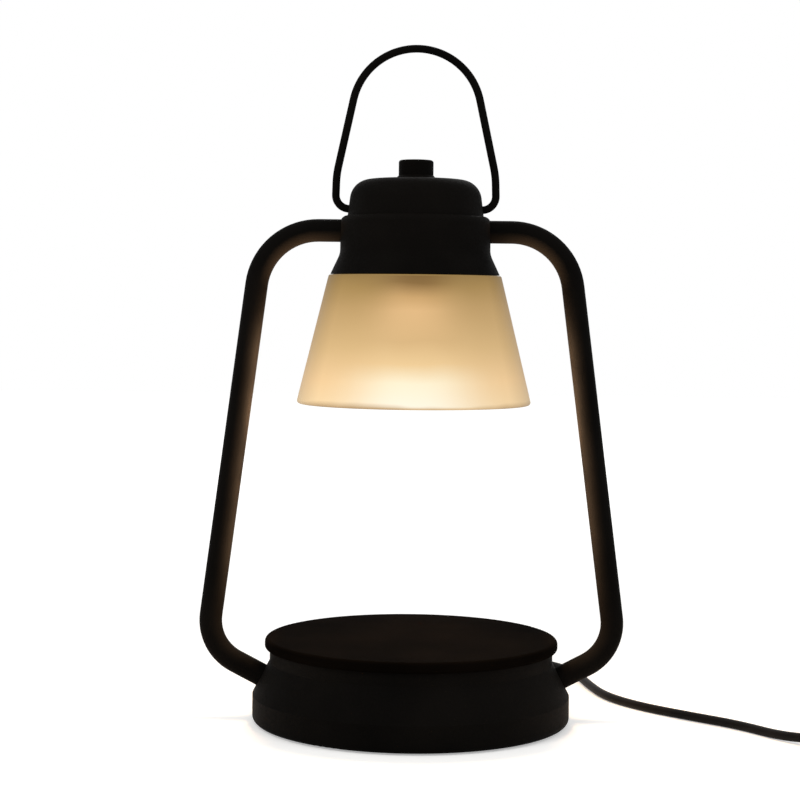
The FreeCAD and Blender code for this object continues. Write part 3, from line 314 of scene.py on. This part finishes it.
# metals
castIron = {
    "dark": (0.030, 0.028, 0.026),
    "light": (0.075, 0.070, 0.064),
    "rust": (0.11, 0.045, 0.02),
    "rustScale": 130.0,
    "rustDetail": 5.0,
    "rustRoughness": 0.7,
    "rustSpan": (0.58, 0.72),
    "rustShare": (0.0, 0.6),
    "grain": (420.0, 1500.0, 40.0),
    "roughness": (0.55, 0.85),
    "bump": (0.7, 0.0004),
    "metallic": 0.6,
}
metals = {
    "zinc_steel": {
        "name": "zincSteel", "dark": (0.42, 0.43, 0.44), "light": (0.62, 0.62, 0.60),
        "roughness": (0.28, 0.45), "rings": 1400.0, "grain": (500.0, 3000.0, 90.0),
        "bump": (0.35, 0.00005)},
    "brass": {
        "name": "brass", "dark": (0.55, 0.36, 0.13), "light": (0.74, 0.52, 0.22),
        "roughness": (0.22, 0.40), "rings": 1600.0, "grain": (500.0, 3000.0, 90.0),
        "bump": (0.35, 0.00005)},
}


def makeCastIron():
    # a rough dark skin with rust in spots
    material, tree, shader, place = startMaterial("rawCastIron")
    grain = addGrain(tree, place, castIron["grain"])
    tone = mixColours(tree, grain["Shade"], castIron["dark"], castIron["light"])
    spots = noiseNode(tree, place, castIron["rustScale"], castIron["rustDetail"],
                      Roughness=castIron["rustRoughness"])
    rusty = rangeNode(tree, spots, castIron["rustSpan"], castIron["rustShare"])
    colour = mixColours(tree, rusty, tone, castIron["rust"])
    setSkin(tree, shader, colour, grain["Height"], castIron)
    setShader(tree, shader, Metallic=castIron["metallic"])
    return material


def makeBareMetal(metal):
    # turned or plated metal: a slow change of tone, and fine rings that also change its shine
    material, tree, shader, place = startMaterial(metal["name"])
    grain = addGrain(tree, place, metal["grain"])
    rings = addNode(tree, "Group", {"Place": place, "Rings": metal["rings"]},
                    node_tree=turningGroup).outputs["Height"]
    tone = mixColours(tree, grain["Shade"], metal["dark"], metal["light"])
    setSkin(tree, shader, tone, rings, metal, noiseSpan)
    setShader(tree, shader, Metallic=1.0)
    return material


# the lit shade, the bulb and the dimmer's board
frostedGlassPaintedGlow = {
    "bottom": 0.1395,
    "top": 0.1965,
    "sides": [  # share of the way up, painted glow of the bulb's light where the glass turns away, with painted shade under the skirt at the top
        (0.00, (0.50, 0.34, 0.18)),
        (0.05, (0.95, 0.70, 0.40)),
        (0.20, (0.92, 0.64, 0.34)),
        (0.45, (0.72, 0.49, 0.23)),
        (0.75, (0.54, 0.35, 0.145)),
        (0.90, (0.41, 0.26, 0.09)),
        (1.00, (0.32, 0.20, 0.065)),
    ],
    "middle": [  # the same where it faces the eye: a painted hot spot of the bulb's light, with painted shade at the top
        (0.00, (0.60, 0.42, 0.24)),
        (0.05, (1.10, 1.07, 0.92)),
        (0.20, (1.08, 1.03, 0.80)),
        (0.34, (0.93, 0.67, 0.35)),
        (0.50, (0.75, 0.50, 0.24)),
        (0.72, (0.92, 0.59, 0.29)),
        (0.82, (0.72, 0.44, 0.19)),
        (0.93, (0.20, 0.105, 0.035)),
        (1.00, (0.17, 0.09, 0.03)),
    ],
    "paintedHotSpot": [  # how far the glass is turned away, and how much of the painted hot spot's middle colours it takes
        (0.000, 1.00), (0.020, 0.94), (0.046, 0.82), (0.083, 0.62),
        (0.134, 0.40), (0.200, 0.21), (0.286, 0.08), (0.400, 0.00),
    ],
    "narrowSpan": (0.25, 0.70),  # share of the way up over which the painted hot spot narrows
    "narrower": (1.0, 2.0),  # the power that raises the middle's share, below and above
    "cloudScale": 24.0,
    "cloudDetail": 2.0,
    "drift": (-0.03, 0.03),  # how far the clouds shift the colours up and down
    "paintedEdgeShadeSpan": (0.45, 0.95),  # how far the glass is turned away where painted shade darkens its edge
    "paintedEdgeShade": (1.0, 0.46),
    "paintedSideLightSpan": (-0.05, 0.05),
    "paintedSideLight": (1.05, 0.90),  # painted light at its left side and at its right side
    "paintedGlowShare": 0.78,
    "bodyShare": 0.22,
    "grain": (1800.0, 5200.0, 30.0),
    "roughness": (0.42, 0.55),
    "bump": (0.25, 0.00004),
    "specular": 0.12,
    "clearness": 0.06,
    "refraction": 1.45,
}
boardSkin = {
    "resist": (0.012, 0.075, 0.03),
    "track": (0.05, 0.16, 0.06),
    "cells": 330.0,
    "trackSpan": (0.04, 0.09),
    "roughness": (0.45, 0.3),
    "bump": (0.4, 0.00003),
}
litPart = {"speckles": 400.0, "detail": 1.0, "dim": 0.6, "share": (0.75, 1.0), "rougher": 0.1}
litParts = {
    "bulb_mirror": {
        "name": "bulbMirror", "colour": (1.0, 0.66, 0.36), "strength": 1.3, "roughness": 0.25,
        "metallic": 0.6},
    "bulb_glass": {
        "name": "bulbGlass", "colour": (1.0, 0.80, 0.52), "strength": 2.0, "roughness": 0.2,
        "metallic": 0.0},
    "bulb_filament": {
        "name": "bulbFilament", "colour": (1.0, 0.72, 0.40), "strength": 6.0, "roughness": 0.4,
        "metallic": 0.0},
}


def makePaintedGlowGlass():
    # sandblasted glass painted as lit by the bulb behind it: a painted glow in two ramps of colour
    # over the height, with painted shade at the top, the painted hot spot seen face on giving way
    # to the other as the glass turns away, and painted shade at its edge
    material, tree, shader, place = startMaterial("frostedGlassPaintedGlow")
    apart = addNode(tree, "SeparateXYZ", {"Vector": place}).outputs
    share = rangeNode(tree, apart["Z"], (frostedGlassPaintedGlow["bottom"], frostedGlassPaintedGlow["top"]))
    clouds = noiseNode(tree, place, frostedGlassPaintedGlow["cloudScale"], frostedGlassPaintedGlow["cloudDetail"])
    drift = rangeNode(tree, clouds, noiseSpan, frostedGlassPaintedGlow["drift"])
    level = mathNode(tree, "ADD", share, drift)
    sides = rampNode(tree, level, frostedGlassPaintedGlow["sides"])
    middle = rampNode(tree, level, frostedGlassPaintedGlow["middle"])
    turnedAway = addNode(tree, "LayerWeight", {"Blend": 0.5}).outputs["Facing"]
    shares = [(position, (amount,) * 3) for position, amount in frostedGlassPaintedGlow["paintedHotSpot"]]
    paintedHotSpot = rampNode(tree, turnedAway, shares)
    narrower = rangeNode(tree, share, frostedGlassPaintedGlow["narrowSpan"], frostedGlassPaintedGlow["narrower"])
    paintedHotSpot = mathNode(tree, "POWER", paintedHotSpot, narrower)
    lit = mixColours(tree, paintedHotSpot, sides, middle)
    paintedRimShade = rangeNode(tree, turnedAway, frostedGlassPaintedGlow["paintedEdgeShadeSpan"], frostedGlassPaintedGlow["paintedEdgeShade"])
    paintedSideLight = rangeNode(tree, apart["X"], frostedGlassPaintedGlow["paintedSideLightSpan"], frostedGlassPaintedGlow["paintedSideLight"])
    power = mathNode(tree, "MULTIPLY", paintedRimShade, paintedSideLight)
    glow = addNode(tree, "VectorMath", {0: lit, "Scale": power}, operation="SCALE")
    # the glass's own colour is a share of the painted side colours, so their painted shade at the
    # top darkens it too
    body = mixColours(tree, frostedGlassPaintedGlow["bodyShare"], (0.0, 0.0, 0.0), sides)
    grain = addGrain(tree, place, frostedGlassPaintedGlow["grain"])
    setSkin(tree, shader, body, grain["Height"], frostedGlassPaintedGlow)
    # the painted glow of the bulb's light goes in as emission
    setShader(tree, shader, Emission_Color=glow.outputs["Vector"],
              Emission_Strength=frostedGlassPaintedGlow["paintedGlowShare"],
              Specular_IOR_Level=frostedGlassPaintedGlow["specular"],
              Transmission_Weight=frostedGlassPaintedGlow["clearness"], IOR=frostedGlassPaintedGlow["refraction"])
    return material


def makeLitPart(part):
    # a part of the bulb that glows, uneven over its surface
    material, tree, shader, place = startMaterial(part["name"])
    speckles = noiseNode(tree, place, litPart["speckles"], litPart["detail"])
    share = rangeNode(tree, speckles, noiseSpan, litPart["share"])
    dim = tuple(litPart["dim"] * channel for channel in part["colour"])
    lit = mixColours(tree, share, dim, part["colour"])
    rough = (part["roughness"], part["roughness"] + litPart["rougher"])
    setShader(tree, shader, Base_Color=lit, Emission_Color=lit,
              Emission_Strength=part["strength"], Metallic=part["metallic"],
              Roughness=rangeNode(tree, speckles, noiseSpan, rough))
    return material


def makeBoard():
    # green solder resist over copper tracks, which are the edges of square cells
    material, tree, shader, place = startMaterial("circuitBoard")
    cells = addNode(tree, "TexVoronoi", {"Vector": place, "Scale": boardSkin["cells"]},
                    distance="MANHATTAN", feature="DISTANCE_TO_EDGE")
    track = rangeNode(tree, cells.outputs["Distance"], boardSkin["trackSpan"], (1.0, 0.0))
    colour = mixColours(tree, track, boardSkin["resist"], boardSkin["track"])
    setSkin(tree, shader, colour, track, boardSkin)
    return material


# every piece of the frame gets the finish of its slot
finishes = {
    "black_powder_coat": makeCoat(powderCoat),
    "cast_iron": makeCastIron(),
    "frosted_glass": makePaintedGlowGlass(),
    "circuit_board": makeBoard(),
    **{slotName: makeBareMetal(metal) for slotName, metal in metals.items()},
    **{slotName: makeMoulded(skin) for slotName, skin in mouldings.items()},
    **{slotName: makeLitPart(part) for slotName, part in litParts.items()},
}


def paintNode(name, paint):
    nodes[name].data.materials.clear()
    nodes[name].data.materials.append(paint)


for part in frame["record"]["subparts"]:
    paintNode(part["node"], finishes[part["material_slot"]])
paintNode("candle_tray", makeCoat(trayCoatPaintedWarmShade))  # flatter, and darker and browner than the black coat: painted shade and a painted warm tint of the bulb's light
paintNode("shade_carrier", finishes["black_powder_coat"])  # a dark gap between skirt and glass
print("finishes assigned")


# moulded pieces of the lead, as grids of points; their own sizes are in mm
perMetre = 1000.0
sharpEdge = 40.0  # degrees between two faces from which their edge stays sharp
roundSection = 2.0  # the squareness of a circle or an ellipse


def gridFaces(rows, columns, first, looped):
    # a face between each point, the next one round and the two along; flat ends unless looped
    spot = first + np.arange(rows * columns).reshape(rows, columns)
    beside = np.roll(spot, -1, axis=1)
    corners = [spot, beside, np.roll(beside, -1, axis=0), np.roll(spot, -1, axis=0)]
    if looped:
        return np.stack(corners, axis=-1).reshape(-1, 4).tolist()
    quads = np.stack([corner[:-1] for corner in corners], axis=-1).reshape(-1, 4).tolist()
    return quads + [spot[0, ::-1].tolist(), spot[-1].tolist()]


def addPiece(name, slotName, body, grids, looped=False):
    # one object on a body, from grids of points in metres
    faces, count = [], 0
    for grid in grids:
        rows, columns = grid.shape[:2]
        faces += gridFaces(rows, columns, count, looped)
        count += rows * columns
    points = np.concatenate([grid.reshape(-1, 3) for grid in grids])
    mesh = bpy.data.meshes.new(name)
    mesh.from_pydata(points.tolist(), [], faces)
    mesh.shade_smooth()
    mesh.set_sharp_from_angle(angle=math.radians(sharpEdge))
    mesh.materials.append(finishes[slotName])
    piece = placeObject(name, mesh)
    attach(piece, body)
    return piece


def turnAngles(count):
    # a full turn in even steps
    return 2.0 * math.pi * np.arange(count) / count


def squared(wave, power):
    # a sine or cosine raised to a power with its sign kept: below 1 it squares a circle off
    return np.sign(wave) * np.abs(wave) ** power


def loftGrid(along, wide, high, squareness, columns, middle, axis, way=1.0):
    # sections across an axis: half width times a power of the cosine, half height times that of
    # the sine; the power is 2 over the squareness, so that a higher one gives a rounded box; way
    # -1 points the axis backwards
    angle = way * turnAngles(columns)
    power = 2.0 / np.reshape(squareness, (-1, 1))
    across = np.reshape(wide, (len(along), -1)) * squared(np.cos(angle), power)
    upward = np.reshape(high, (len(along), -1)) * squared(np.sin(angle), power)
    onward = np.repeat(way * np.reshape(along, (-1, 1)), columns, axis=1)
    order = {
        "X": (onward, across, upward),
        "Y": (upward, onward, across),
        "Z": (across, upward, onward),
    }
    return np.stack(order[axis], axis=-1) / perMetre + np.array(middle)


def grooves(along, start, end, pitch, depth):
    # a raised cosine, squared, a pitch apart between two places, and none outside them
    wave = (0.5 - 0.5 * np.cos(2.0 * math.pi * (along - start) / pitch)) ** 2
    return np.where((along > start) & (along < end), depth * wave, 0.0)


dimmerWheel = {
    "middle": (0.246, -0.058, 0.0),
    "profile": [  # height, radius and share of the flutes
        (20.3, 3.2, 0.0), (20.3, 9.7, 0.0), (20.6, 10.2, 0.4), (21.2, 10.5, 1.0),
        (23.4, 10.45, 1.0), (25.6, 10.4, 1.0), (26.4, 10.1, 0.7), (27.0, 9.5, 0.2),
        (27.3, 8.8, 0.0), (27.3, 8.3, 0.0), (27.05, 7.9, 0.0), (26.9, 7.0, 0.0),
        (26.8, 0.8, 0.0)],
    "flutes": 24,
    "depth": 0.6,
    "columns": 192,
}
wheelPointer = {
    "middle": (0.246, -0.058, 0.02695),
    "start": 3.0,
    "end": 7.2,
    "halfWidth": 0.6,
    "halfHeight": 0.22,
    "squareness": 4.0,
    "taper": 0.9,
    "taperPower": 6,
    "rows": 24,
    "columns": 24,
}


def makeDimmerWheel():
    # a turned profile whose radius dips by the flute's depth times a raised cosine of the angle
    height, radius, share = np.array(dimmerWheel["profile"]).T
    angle = turnAngles(dimmerWheel["columns"])
    dip = dimmerWheel["depth"] * (0.5 - 0.5 * np.cos(dimmerWheel["flutes"] * angle))
    fluted = radius[:, None] - share[:, None] * dip[None, :]
    grid = loftGrid(height, fluted, fluted, roundSection, dimmerWheel["columns"],
                    dimmerWheel["middle"], "Z")
    wheel = addPiece("dimmerWheel", "knob_plastic", "dimmer_wheel", [grid])
    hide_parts("dimmer_knob")
    return wheel


def makeWheelPointer():
    # a bar of box sections that shrink to both ends by the root of 1 less a power of the way out
    start, end = wheelPointer["start"], wheelPointer["end"]
    along = np.linspace(start, end, wheelPointer["rows"])
    wayOut = np.abs(2.0 * (along - start) / (end - start) - 1.0)
    size = np.sqrt(1.0 - wheelPointer["taper"] * wayOut ** wheelPointer["taperPower"])
    bar = loftGrid(along, wheelPointer["halfHeight"] * size, wheelPointer["halfWidth"] * size,
                   wheelPointer["squareness"], wheelPointer["columns"], wheelPointer["middle"],
                   "Y")
    return addPiece("wheelPointer", "white_plastic", "dimmer_wheel", [bar])


dialMarks = {
    "middle": (0.246, -0.058, 0.0),
    "inner": 11.2,
    "lengths": (0.7, 1.4),
    "width": 0.34,
    "levels": (19.95, 20.07),
    "count": 11,
    "start": 90.0,
    "step": 27.0,
}


def makeDialMarks():
    # thin bars pointing out from the wheel, longer from one to the next
    number = np.arange(dialMarks["count"])
    turn = np.radians(dialMarks["start"] + dialMarks["step"] * number)
    inner = np.full(len(number), dialMarks["inner"])
    outer = inner + np.interp(number, [0, dialMarks["count"] - 1], dialMarks["lengths"])
    half = dialMarks["width"] / 2.0
    reach = np.stack([inner, outer, outer, inner], axis=-1)
    aside = np.array([-half, -half, half, half])
    across = reach * np.cos(turn)[:, None] - aside * np.sin(turn)[:, None]
    back = reach * np.sin(turn)[:, None] + aside * np.cos(turn)[:, None]
    layers = [np.stack([across, back, np.full_like(across, level)], axis=-1)
              for level in dialMarks["levels"]]
    bars = np.stack(layers, axis=1) / perMetre + np.array(dialMarks["middle"])
    return addPiece("dialMarks", "white_plastic", "frame", list(bars))


leadRelief = {
    "start": 0.3,
    "rowsPerMm": 4,
    "plainRoot": 6.0,  # the plain part is the length divided by this
    "plainTip": 2.5,
    "pitch": 2.5,
    "depth": 0.55,
    "tip": 2.7,
    "flangeThickness": 1.4,
    "columns": 40,
}
footRelief = {"length": 24.0, "root": 4.8, "neck": 4.4, "flange": (1.5, 5.0), "axis": "Y",
              "middle": (0.0, 0.0697, 0.007)}
dimmerRelief = {"length": 17.0, "root": 3.6, "neck": 3.0, "flange": (2.0, 4.8), "axis": "X"}
dimmerEnds = [
    {"middle": (0.218, -0.058, 0.010), "way": -1.0},
    {"middle": (0.274, -0.058, 0.010), "way": 1.0},
]


def reliefGrid(length, root, neck, flange, middle, axis, way=1.0):
    # a taper from the root to the tip, less the grooves, with a neck through the wall behind it
    # and a flange inside the wall, whose place and radius are given
    start, plain = leadRelief["start"], length / leadRelief["plainRoot"]
    along = np.linspace(start, length, int(length * leadRelief["rowsPerMm"]))
    radius = np.interp(along, [0.0, plain, length], [root, root, leadRelief["tip"]])
    radius = radius - grooves(along, plain, length - leadRelief["plainTip"],
                              leadRelief["pitch"], leadRelief["depth"])
    wall, wide = flange
    behind = -wall - leadRelief["flangeThickness"]
    along = np.concatenate([[behind, -wall, -wall, start], along])
    radius = np.concatenate([[wide, wide, neck, neck], radius])
    return loftGrid(along, radius, radius, roundSection, leadRelief["columns"], middle, axis,
                    way)


def makeReliefs():
    # one relief on the foot, and one at each end of the dimmer
    foot = addPiece("footRelief", "black_rubber", "frame", [reliefGrid(**footRelief)])
    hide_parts("cord_boot")
    sides = addPiece("dimmerReliefs", "black_rubber", "frame",
                     [reliefGrid(**dimmerRelief, **end) for end in dimmerEnds])
    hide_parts("dimmer_boots")
    return sides


plugShell = {
    "middle": (0.224, 0.042, 0.008),
    "half": (12.0, 8.0),
    "face": -14.0,
    "back": 14.0,
    "tip": 30.0,
    "front": (12.8, 1.7, 3),  # where the end starts to close, over how long, and the power
    "rear": (9.0, 5.2, 2.5),
    "waist": (1.5, 10.0),  # depth and half length
    "ribs": (7.8, 2.6, 0.5),  # half length, pitch and depth
    "taperRoot": 5.3,
    "taperStart": 11.0,
    "taperGrooves": (16.0, 28.5),
    "squareness": ([-14.0, 9.0, 14.0], [6.0, 5.0, 2.0]),
    "rows": 133,
    "columns": 72,
}


def closing(along, start, length, power):
    # a power of the way on from a start over a length, from 0 to 1
    return np.clip((along - start) / length, 0.0, 1.0) ** power


def makePlugShell():
    # rounded box sections, waisted by a squared cosine and ribbed for the fingers, whose ends
    # close as the root of 1 less a power of the way on, and a grooved taper at the back
    along = np.linspace(plugShell["face"], plugShell["tip"], plugShell["rows"])
    closed = closing(-along, *plugShell["front"]) + closing(along, *plugShell["rear"])
    ends = np.sqrt(np.clip(1.0 - closed, 0.0, 1.0))
    dip, reach = plugShell["waist"]
    wave = np.cos(math.pi * along / (2.0 * reach)) ** 2
    waist = np.where(np.abs(along) < reach, dip * wave, 0.0)
    ribbed, pitch, depth = plugShell["ribs"]
    ribs = grooves(along, -ribbed, ribbed, pitch, depth)
    wide = plugShell["half"][0] * ends - waist - ribs
    high = plugShell["half"][1] * ends
    taper = np.interp(along, [plugShell["back"], plugShell["tip"]],
                      [plugShell["taperRoot"], leadRelief["tip"]])
    taper = taper - grooves(along, *plugShell["taperGrooves"], leadRelief["pitch"],
                            leadRelief["depth"])
    taper = np.where(along > plugShell["taperStart"], taper, 0.0)
    squareness = np.interp(along, *plugShell["squareness"])
    grid = loftGrid(along, np.maximum(wide, taper), np.maximum(high, taper), squareness,
                    plugShell["columns"], plugShell["middle"], "X")
    shell = addPiece("plugShell", "dark_plastic", "frame", [grid])
    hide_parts("plug_body")
    return shell


leadTie = {
    "middle": (0.2695, 0.012, 0.00505),
    "half": (8.45, 4.25),
    "corner": 2.1,
    "strap": (0.8, 8.0),  # thickness and width
    "strapPower": 0.35,
    "lock": (1.5, 0.5, 6),  # height, half its angle and how steep its sides are
    "ridges": (60.0, 0.05),  # how many go round, and half their depth
    "rows": 160,
    "columns": 24,
}


def makeLeadTie():
    # a strap section carried round a rounded rectangle, swelling on top where it locks
    turn = turnAngles(leadTie["rows"])
    section = turnAngles(leadTie["columns"])
    thick, wide = leadTie["strap"]
    outward = squared(np.cos(section), leadTie["strapPower"])
    aside = wide / 2.0 * squared(np.sin(section), leadTie["strapPower"])
    count, depth = leadTie["ridges"]
    ridges = depth * np.cos(count * turn) - depth
    height, reach, steepness = leadTie["lock"]
    swell = height * np.exp(-((turn - math.pi / 2.0) / reach) ** steepness) + ridges
    offset = thick * (0.5 + 0.5 * outward) + swell[:, None] * np.maximum(outward, 0.0)
    radius = leadTie["corner"] + offset
    straight = np.array(leadTie["half"]) - leadTie["corner"]
    across = (np.sign(np.cos(turn)) * straight[0])[:, None] + radius * np.cos(turn)[:, None]
    upward = (np.sign(np.sin(turn)) * straight[1])[:, None] + radius * np.sin(turn)[:, None]
    grid = np.stack([across, np.broadcast_to(aside, across.shape), upward], axis=-1)
    grid = grid / perMetre + np.array(leadTie["middle"])
    tie = addPiece("leadTie", "tie_plastic", "frame", [grid], looped=True)
    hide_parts("cord_tie")
    return tie


wheel = makeDimmerWheel()
pointer = makeWheelPointer()
marks = makeDialMarks()
reliefs = makeReliefs()
plug = makePlugShell()
tie = makeLeadTie()
print("moulded pieces of the lead made")


# mains lead, in metres
leadJacket = {"radius": 0.002, "roundness": 5}
powerLead = {
    "exit": (0.0, 0.0937, 0.007),
    "points": [
        (0.0, 0.0877, 0.007), (0.0, 0.104, 0.007), (0.005, 0.120, 0.0045),
        (0.017, 0.134, 0.002), (0.036, 0.141, 0.002), (0.057, 0.137, 0.002),
        (0.074, 0.122, 0.002), (0.083, 0.099, 0.002), (0.086, 0.072, 0.002),
        (0.091, 0.046, 0.002), (0.104, 0.024, 0.002), (0.124, 0.004, 0.002),
        (0.143, -0.0135, 0.002), (0.158, -0.036, 0.002), (0.175, -0.054, 0.005),
        (0.192, -0.058, 0.010), (0.2125, -0.058, 0.010)],
    "steps": 8,
}
plugLead = {
    "exit": (0.291, -0.058, 0.010),
    "start": [
        (0.285, -0.058, 0.010), (0.299, -0.058, 0.010), (0.316, -0.052, 0.005),
        (0.325, -0.038, 0.002), (0.326, -0.021, 0.002), (0.323, -0.005, 0.002),
        (0.3208, 0.010, 0.0026)],
    "end": [(0.274, 0.0416, 0.0077), (0.261, 0.042, 0.008), (0.248, 0.042, 0.008)],
    "steps": 3,
}
leadCoil = {
    "middle": (0.292, 0.012),
    "turns": (0.05, 7.25, 0.05),  # first, last and the step from point to point
    "radii": (  # at these turns the coil has these radii
        [0.0, 0.8, 1.0, 1.8, 2.0, 2.8, 3.0, 4.4, 4.6, 5.4, 5.6, 6.4, 6.6, 7.4],
        [0.0288, 0.0288, 0.0246, 0.0246, 0.0204, 0.0204, 0.0162,
         0.0162, 0.0204, 0.0204, 0.0246, 0.0246, 0.0288, 0.0288]),
    "heights": ([3.6, 3.8], [0.0029, 0.0071]),
}


def coilPoints():
    # round and round the middle: inwards a column a turn, up a layer, and outwards again
    turns = np.arange(*leadCoil["turns"])
    radii = np.interp(turns, *leadCoil["radii"])
    heights = np.interp(turns, *leadCoil["heights"])
    angles = 2.0 * math.pi * turns
    across = leadCoil["middle"][0] + radii * np.cos(angles)
    back = leadCoil["middle"][1] + radii * np.sin(angles)
    return [tuple(point) for point in np.column_stack([across, back, heights]).tolist()]


def leadCurve(name, points, steps):
    # a round jacket along a smooth spline that has the points as its control points
    curve = bpy.data.curves.new(name, "CURVE")
    curve.dimensions = "3D"
    spline = curve.splines.new("NURBS")
    spline.points.add(len(points) - 1)
    spline.points.foreach_set("co", np.column_stack([points, np.ones(len(points))]).ravel())
    spline.order_u = 3  # after the points, because without them it stays at 2
    spline.use_endpoint_u = True
    spline.resolution_u = steps
    curve.bevel_depth = leadJacket["radius"]
    curve.bevel_resolution = leadJacket["roundness"]
    curve.use_fill_caps = True
    curve.materials.append(finishes["cord_jacket"])
    lead = placeObject(name, curve)
    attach(lead, "frame")
    return lead


shortLead = leadCurve("powerLead", powerLead["points"], powerLead["steps"])
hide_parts("power_cord")
woundPoints = plugLead["start"] + coilPoints() + plugLead["end"]
longLead = leadCurve("plugLead", woundPoints, plugLead["steps"])
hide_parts("plug_cord", "cord_coil", "plug_cord_end")
print("leads laid")


# floor, light and camera
paleFloor = {
    "side": 6.0,
    "level": -0.0002,  # just under the feet, so that the two faces do not share a plane
    "colour": (0.86, 0.86, 0.855),
    "cloudScale": 3.0,
    "cloudDetail": 2.0,
    "cloudShade": 0.99,
    "roughness": 0.9,
    "liftSpan": (0.35, 1.4),  # distance from the object over which the floor lifts to white
    "lift": (0.36, 0.62),
}
paleRoom = {"colour": (1.0, 0.99, 0.975), "light": 0.55}
lampTarget = (0.0, 0.0, 0.12)
lamps = {
    "keyLamp": {
        "place": (-0.9, -1.0, 1.3), "size": 0.9, "power": 9.0, "colour": (1.0, 0.98, 0.95)},
    "fillLamp": {
        "place": (1.1, -0.7, 0.8), "size": 1.0, "power": 4.0, "colour": (0.96, 0.98, 1.0)},
    "backLamp": {
        "place": (0.2, 1.3, 1.1), "size": 0.9, "power": 4.0, "colour": (1.0, 1.0, 1.0)},
}
bulbLight = {
    "place": (0.0, 0.0, 0.162),
    "power": 0.9,
    "colour": (1.0, 0.68, 0.38),
    "angle": 100.0,
    "blend": 0.8,
    "size": 0.02,
}
shadeGlow = {
    "across": 0.056,
    "height": 0.115,
    "width": 0.03,
    "length": 0.11,
    "power": 0.45,
    "colour": (1.0, 0.66, 0.40),
}
bendGlow = {
    "place": (0.067, 0.106),  # across and up, and so is the target
    "target": (0.0640, 0.210),
    "power": 8.5,
    "colour": (1.0, 0.66, 0.40),
    "angle": 40.0,
    "blend": 1.0,
    "size": 0.004,
}
view = {
    "place": (-0.0063, -0.8637, 0.1845),
    "pitch": 1.121,  # degrees below level
    "roll": 0.60,
    "lens": 88.36,
    "sensor": 36.0,
    "rise": -0.075,  # shift of the lens, as a share of the sensor
    "nearest": 0.01,
}


def seenDirectly(tree):
    # 1 for what the camera, a mirror or clear glass looks at, and 0 for light that falls on things
    rays = addNode(tree, "LightPath").outputs
    seen = mathNode(tree, "MAXIMUM", rays["Is Camera Ray"], rays["Is Glossy Ray"])
    return mathNode(tree, "MAXIMUM", seen, rays["Is Transmission Ray"])


def makeFloor():
    # a pale square that shines a little where it is looked at, more with the distance
    half, low = paleFloor["side"] / 2.0, paleFloor["level"]
    corners = [(-half, -half, low), (half, -half, low), (half, half, low), (-half, half, low)]
    mesh = bpy.data.meshes.new("floor")
    mesh.from_pydata(corners, [], [(0, 1, 2, 3)])
    floor = placeObject("floor", mesh)
    material, tree, shader, place = startMaterial("paleFloor")
    clouds = noiseNode(tree, place, paleFloor["cloudScale"], paleFloor["cloudDetail"])
    shaded = tuple(paleFloor["cloudShade"] * channel for channel in paleFloor["colour"])
    away = addNode(tree, "VectorMath", {0: place}, operation="LENGTH").outputs["Value"]
    lift = rangeNode(tree, away, paleFloor["liftSpan"], paleFloor["lift"])
    setShader(tree, shader, Base_Color=mixColours(tree, clouds, paleFloor["colour"], shaded),
              Roughness=paleFloor["roughness"], Specular_IOR_Level=0.0,
              Emission_Color=(1.0, 1.0, 1.0),
              Emission_Strength=mathNode(tree, "MULTIPLY", seenDirectly(tree), lift))
    mesh.materials.append(material)


def makeWorld():
    # even soft light on the object, and plain white for what is looked at
    world = bpy.data.worlds.new("paleRoom")
    bpy.context.scene.world = world
    world.use_nodes = True
    tree = world.node_tree
    tree.nodes.clear()
    soft = addNode(tree, "Background", {
        "Color": paleRoom["colour"], "Strength": paleRoom["light"]}).outputs[0]
    white = addNode(tree, "Background", {
        "Color": (1.0, 1.0, 1.0), "Strength": 1.0}).outputs[0]
    both = addNode(tree, "MixShader", {0: seenDirectly(tree), 1: soft, 2: white}).outputs[0]
    addNode(tree, "OutputWorld", {"Surface": both})


def aimAt(place, target):
    # a matrix that looks from one place to the other
    away = (np.array(place) - np.array(target)).tolist()
    turned = Vector(away).to_track_quat("Z", "Y").to_matrix().to_4x4()
    return Matrix.Translation(place) @ turned


def addLight(name, kind, lamp, matrix, **settings):
    light = bpy.data.lights.new(name, kind)
    light.energy = lamp["power"]
    light.color = lamp["colour"]
    for setting, value in settings.items():
        setattr(light, setting, value)
    holder = placeObject(name, light)
    holder.matrix_world = matrix
    return holder


def addSpot(name, lamp, matrix):
    return addLight(name, "SPOT", lamp, matrix, spot_size=math.radians(lamp["angle"]),
                    spot_blend=lamp["blend"], shadow_soft_size=lamp["size"])


def makeLamps():
    # three soft lamps round the room, the bulb, and the warm light that the lit shade throws on
    # the arms beside it and on their bends above it
    for name, lamp in lamps.items():
        addLight(name, "AREA", lamp, aimAt(lamp["place"], lampTarget), shape="DISK",
                 size=lamp["size"])
    addSpot("bulbLight", bulbLight, Matrix.Translation(bulbLight["place"]))
    for side in (-1.0, 1.0):
        across, height = side * shadeGlow["across"], shadeGlow["height"]
        panel = addLight(
            "shadeGlow", "AREA", shadeGlow, aimAt((across, 0.0, height), (side, 0.0, height)),
            shape="RECTANGLE", size=shadeGlow["width"], size_y=shadeGlow["length"])
        panel.visible_camera = False
        place, target = [
            (side * bendGlow[end][0], 0.0, bendGlow[end][1]) for end in ("place", "target")]
        spot = addSpot("bendGlow", bendGlow, aimAt(place, target))
        panel.visible_glossy = spot.visible_glossy = False  # real glow has no edge to mirror


def makeCamera():
    lens = bpy.data.cameras.new("camera")
    lens.sensor_width = view["sensor"]
    lens.lens = view["lens"]
    lens.shift_y = view["rise"]
    lens.clip_start = view["nearest"]
    camera = placeObject("camera", lens)
    camera.matrix_world = (Matrix.Translation(view["place"])
                           @ Matrix.Rotation(math.radians(90.0 - view["pitch"]), 4, "X")
                           @ Matrix.Rotation(math.radians(view["roll"]), 4, "Z"))
    bpy.context.scene.camera = camera


makeFloor()
makeWorld()
makeLamps()
makeCamera()
bpy.context.scene.view_settings.view_transform = "Standard"
print("room, light and camera set")
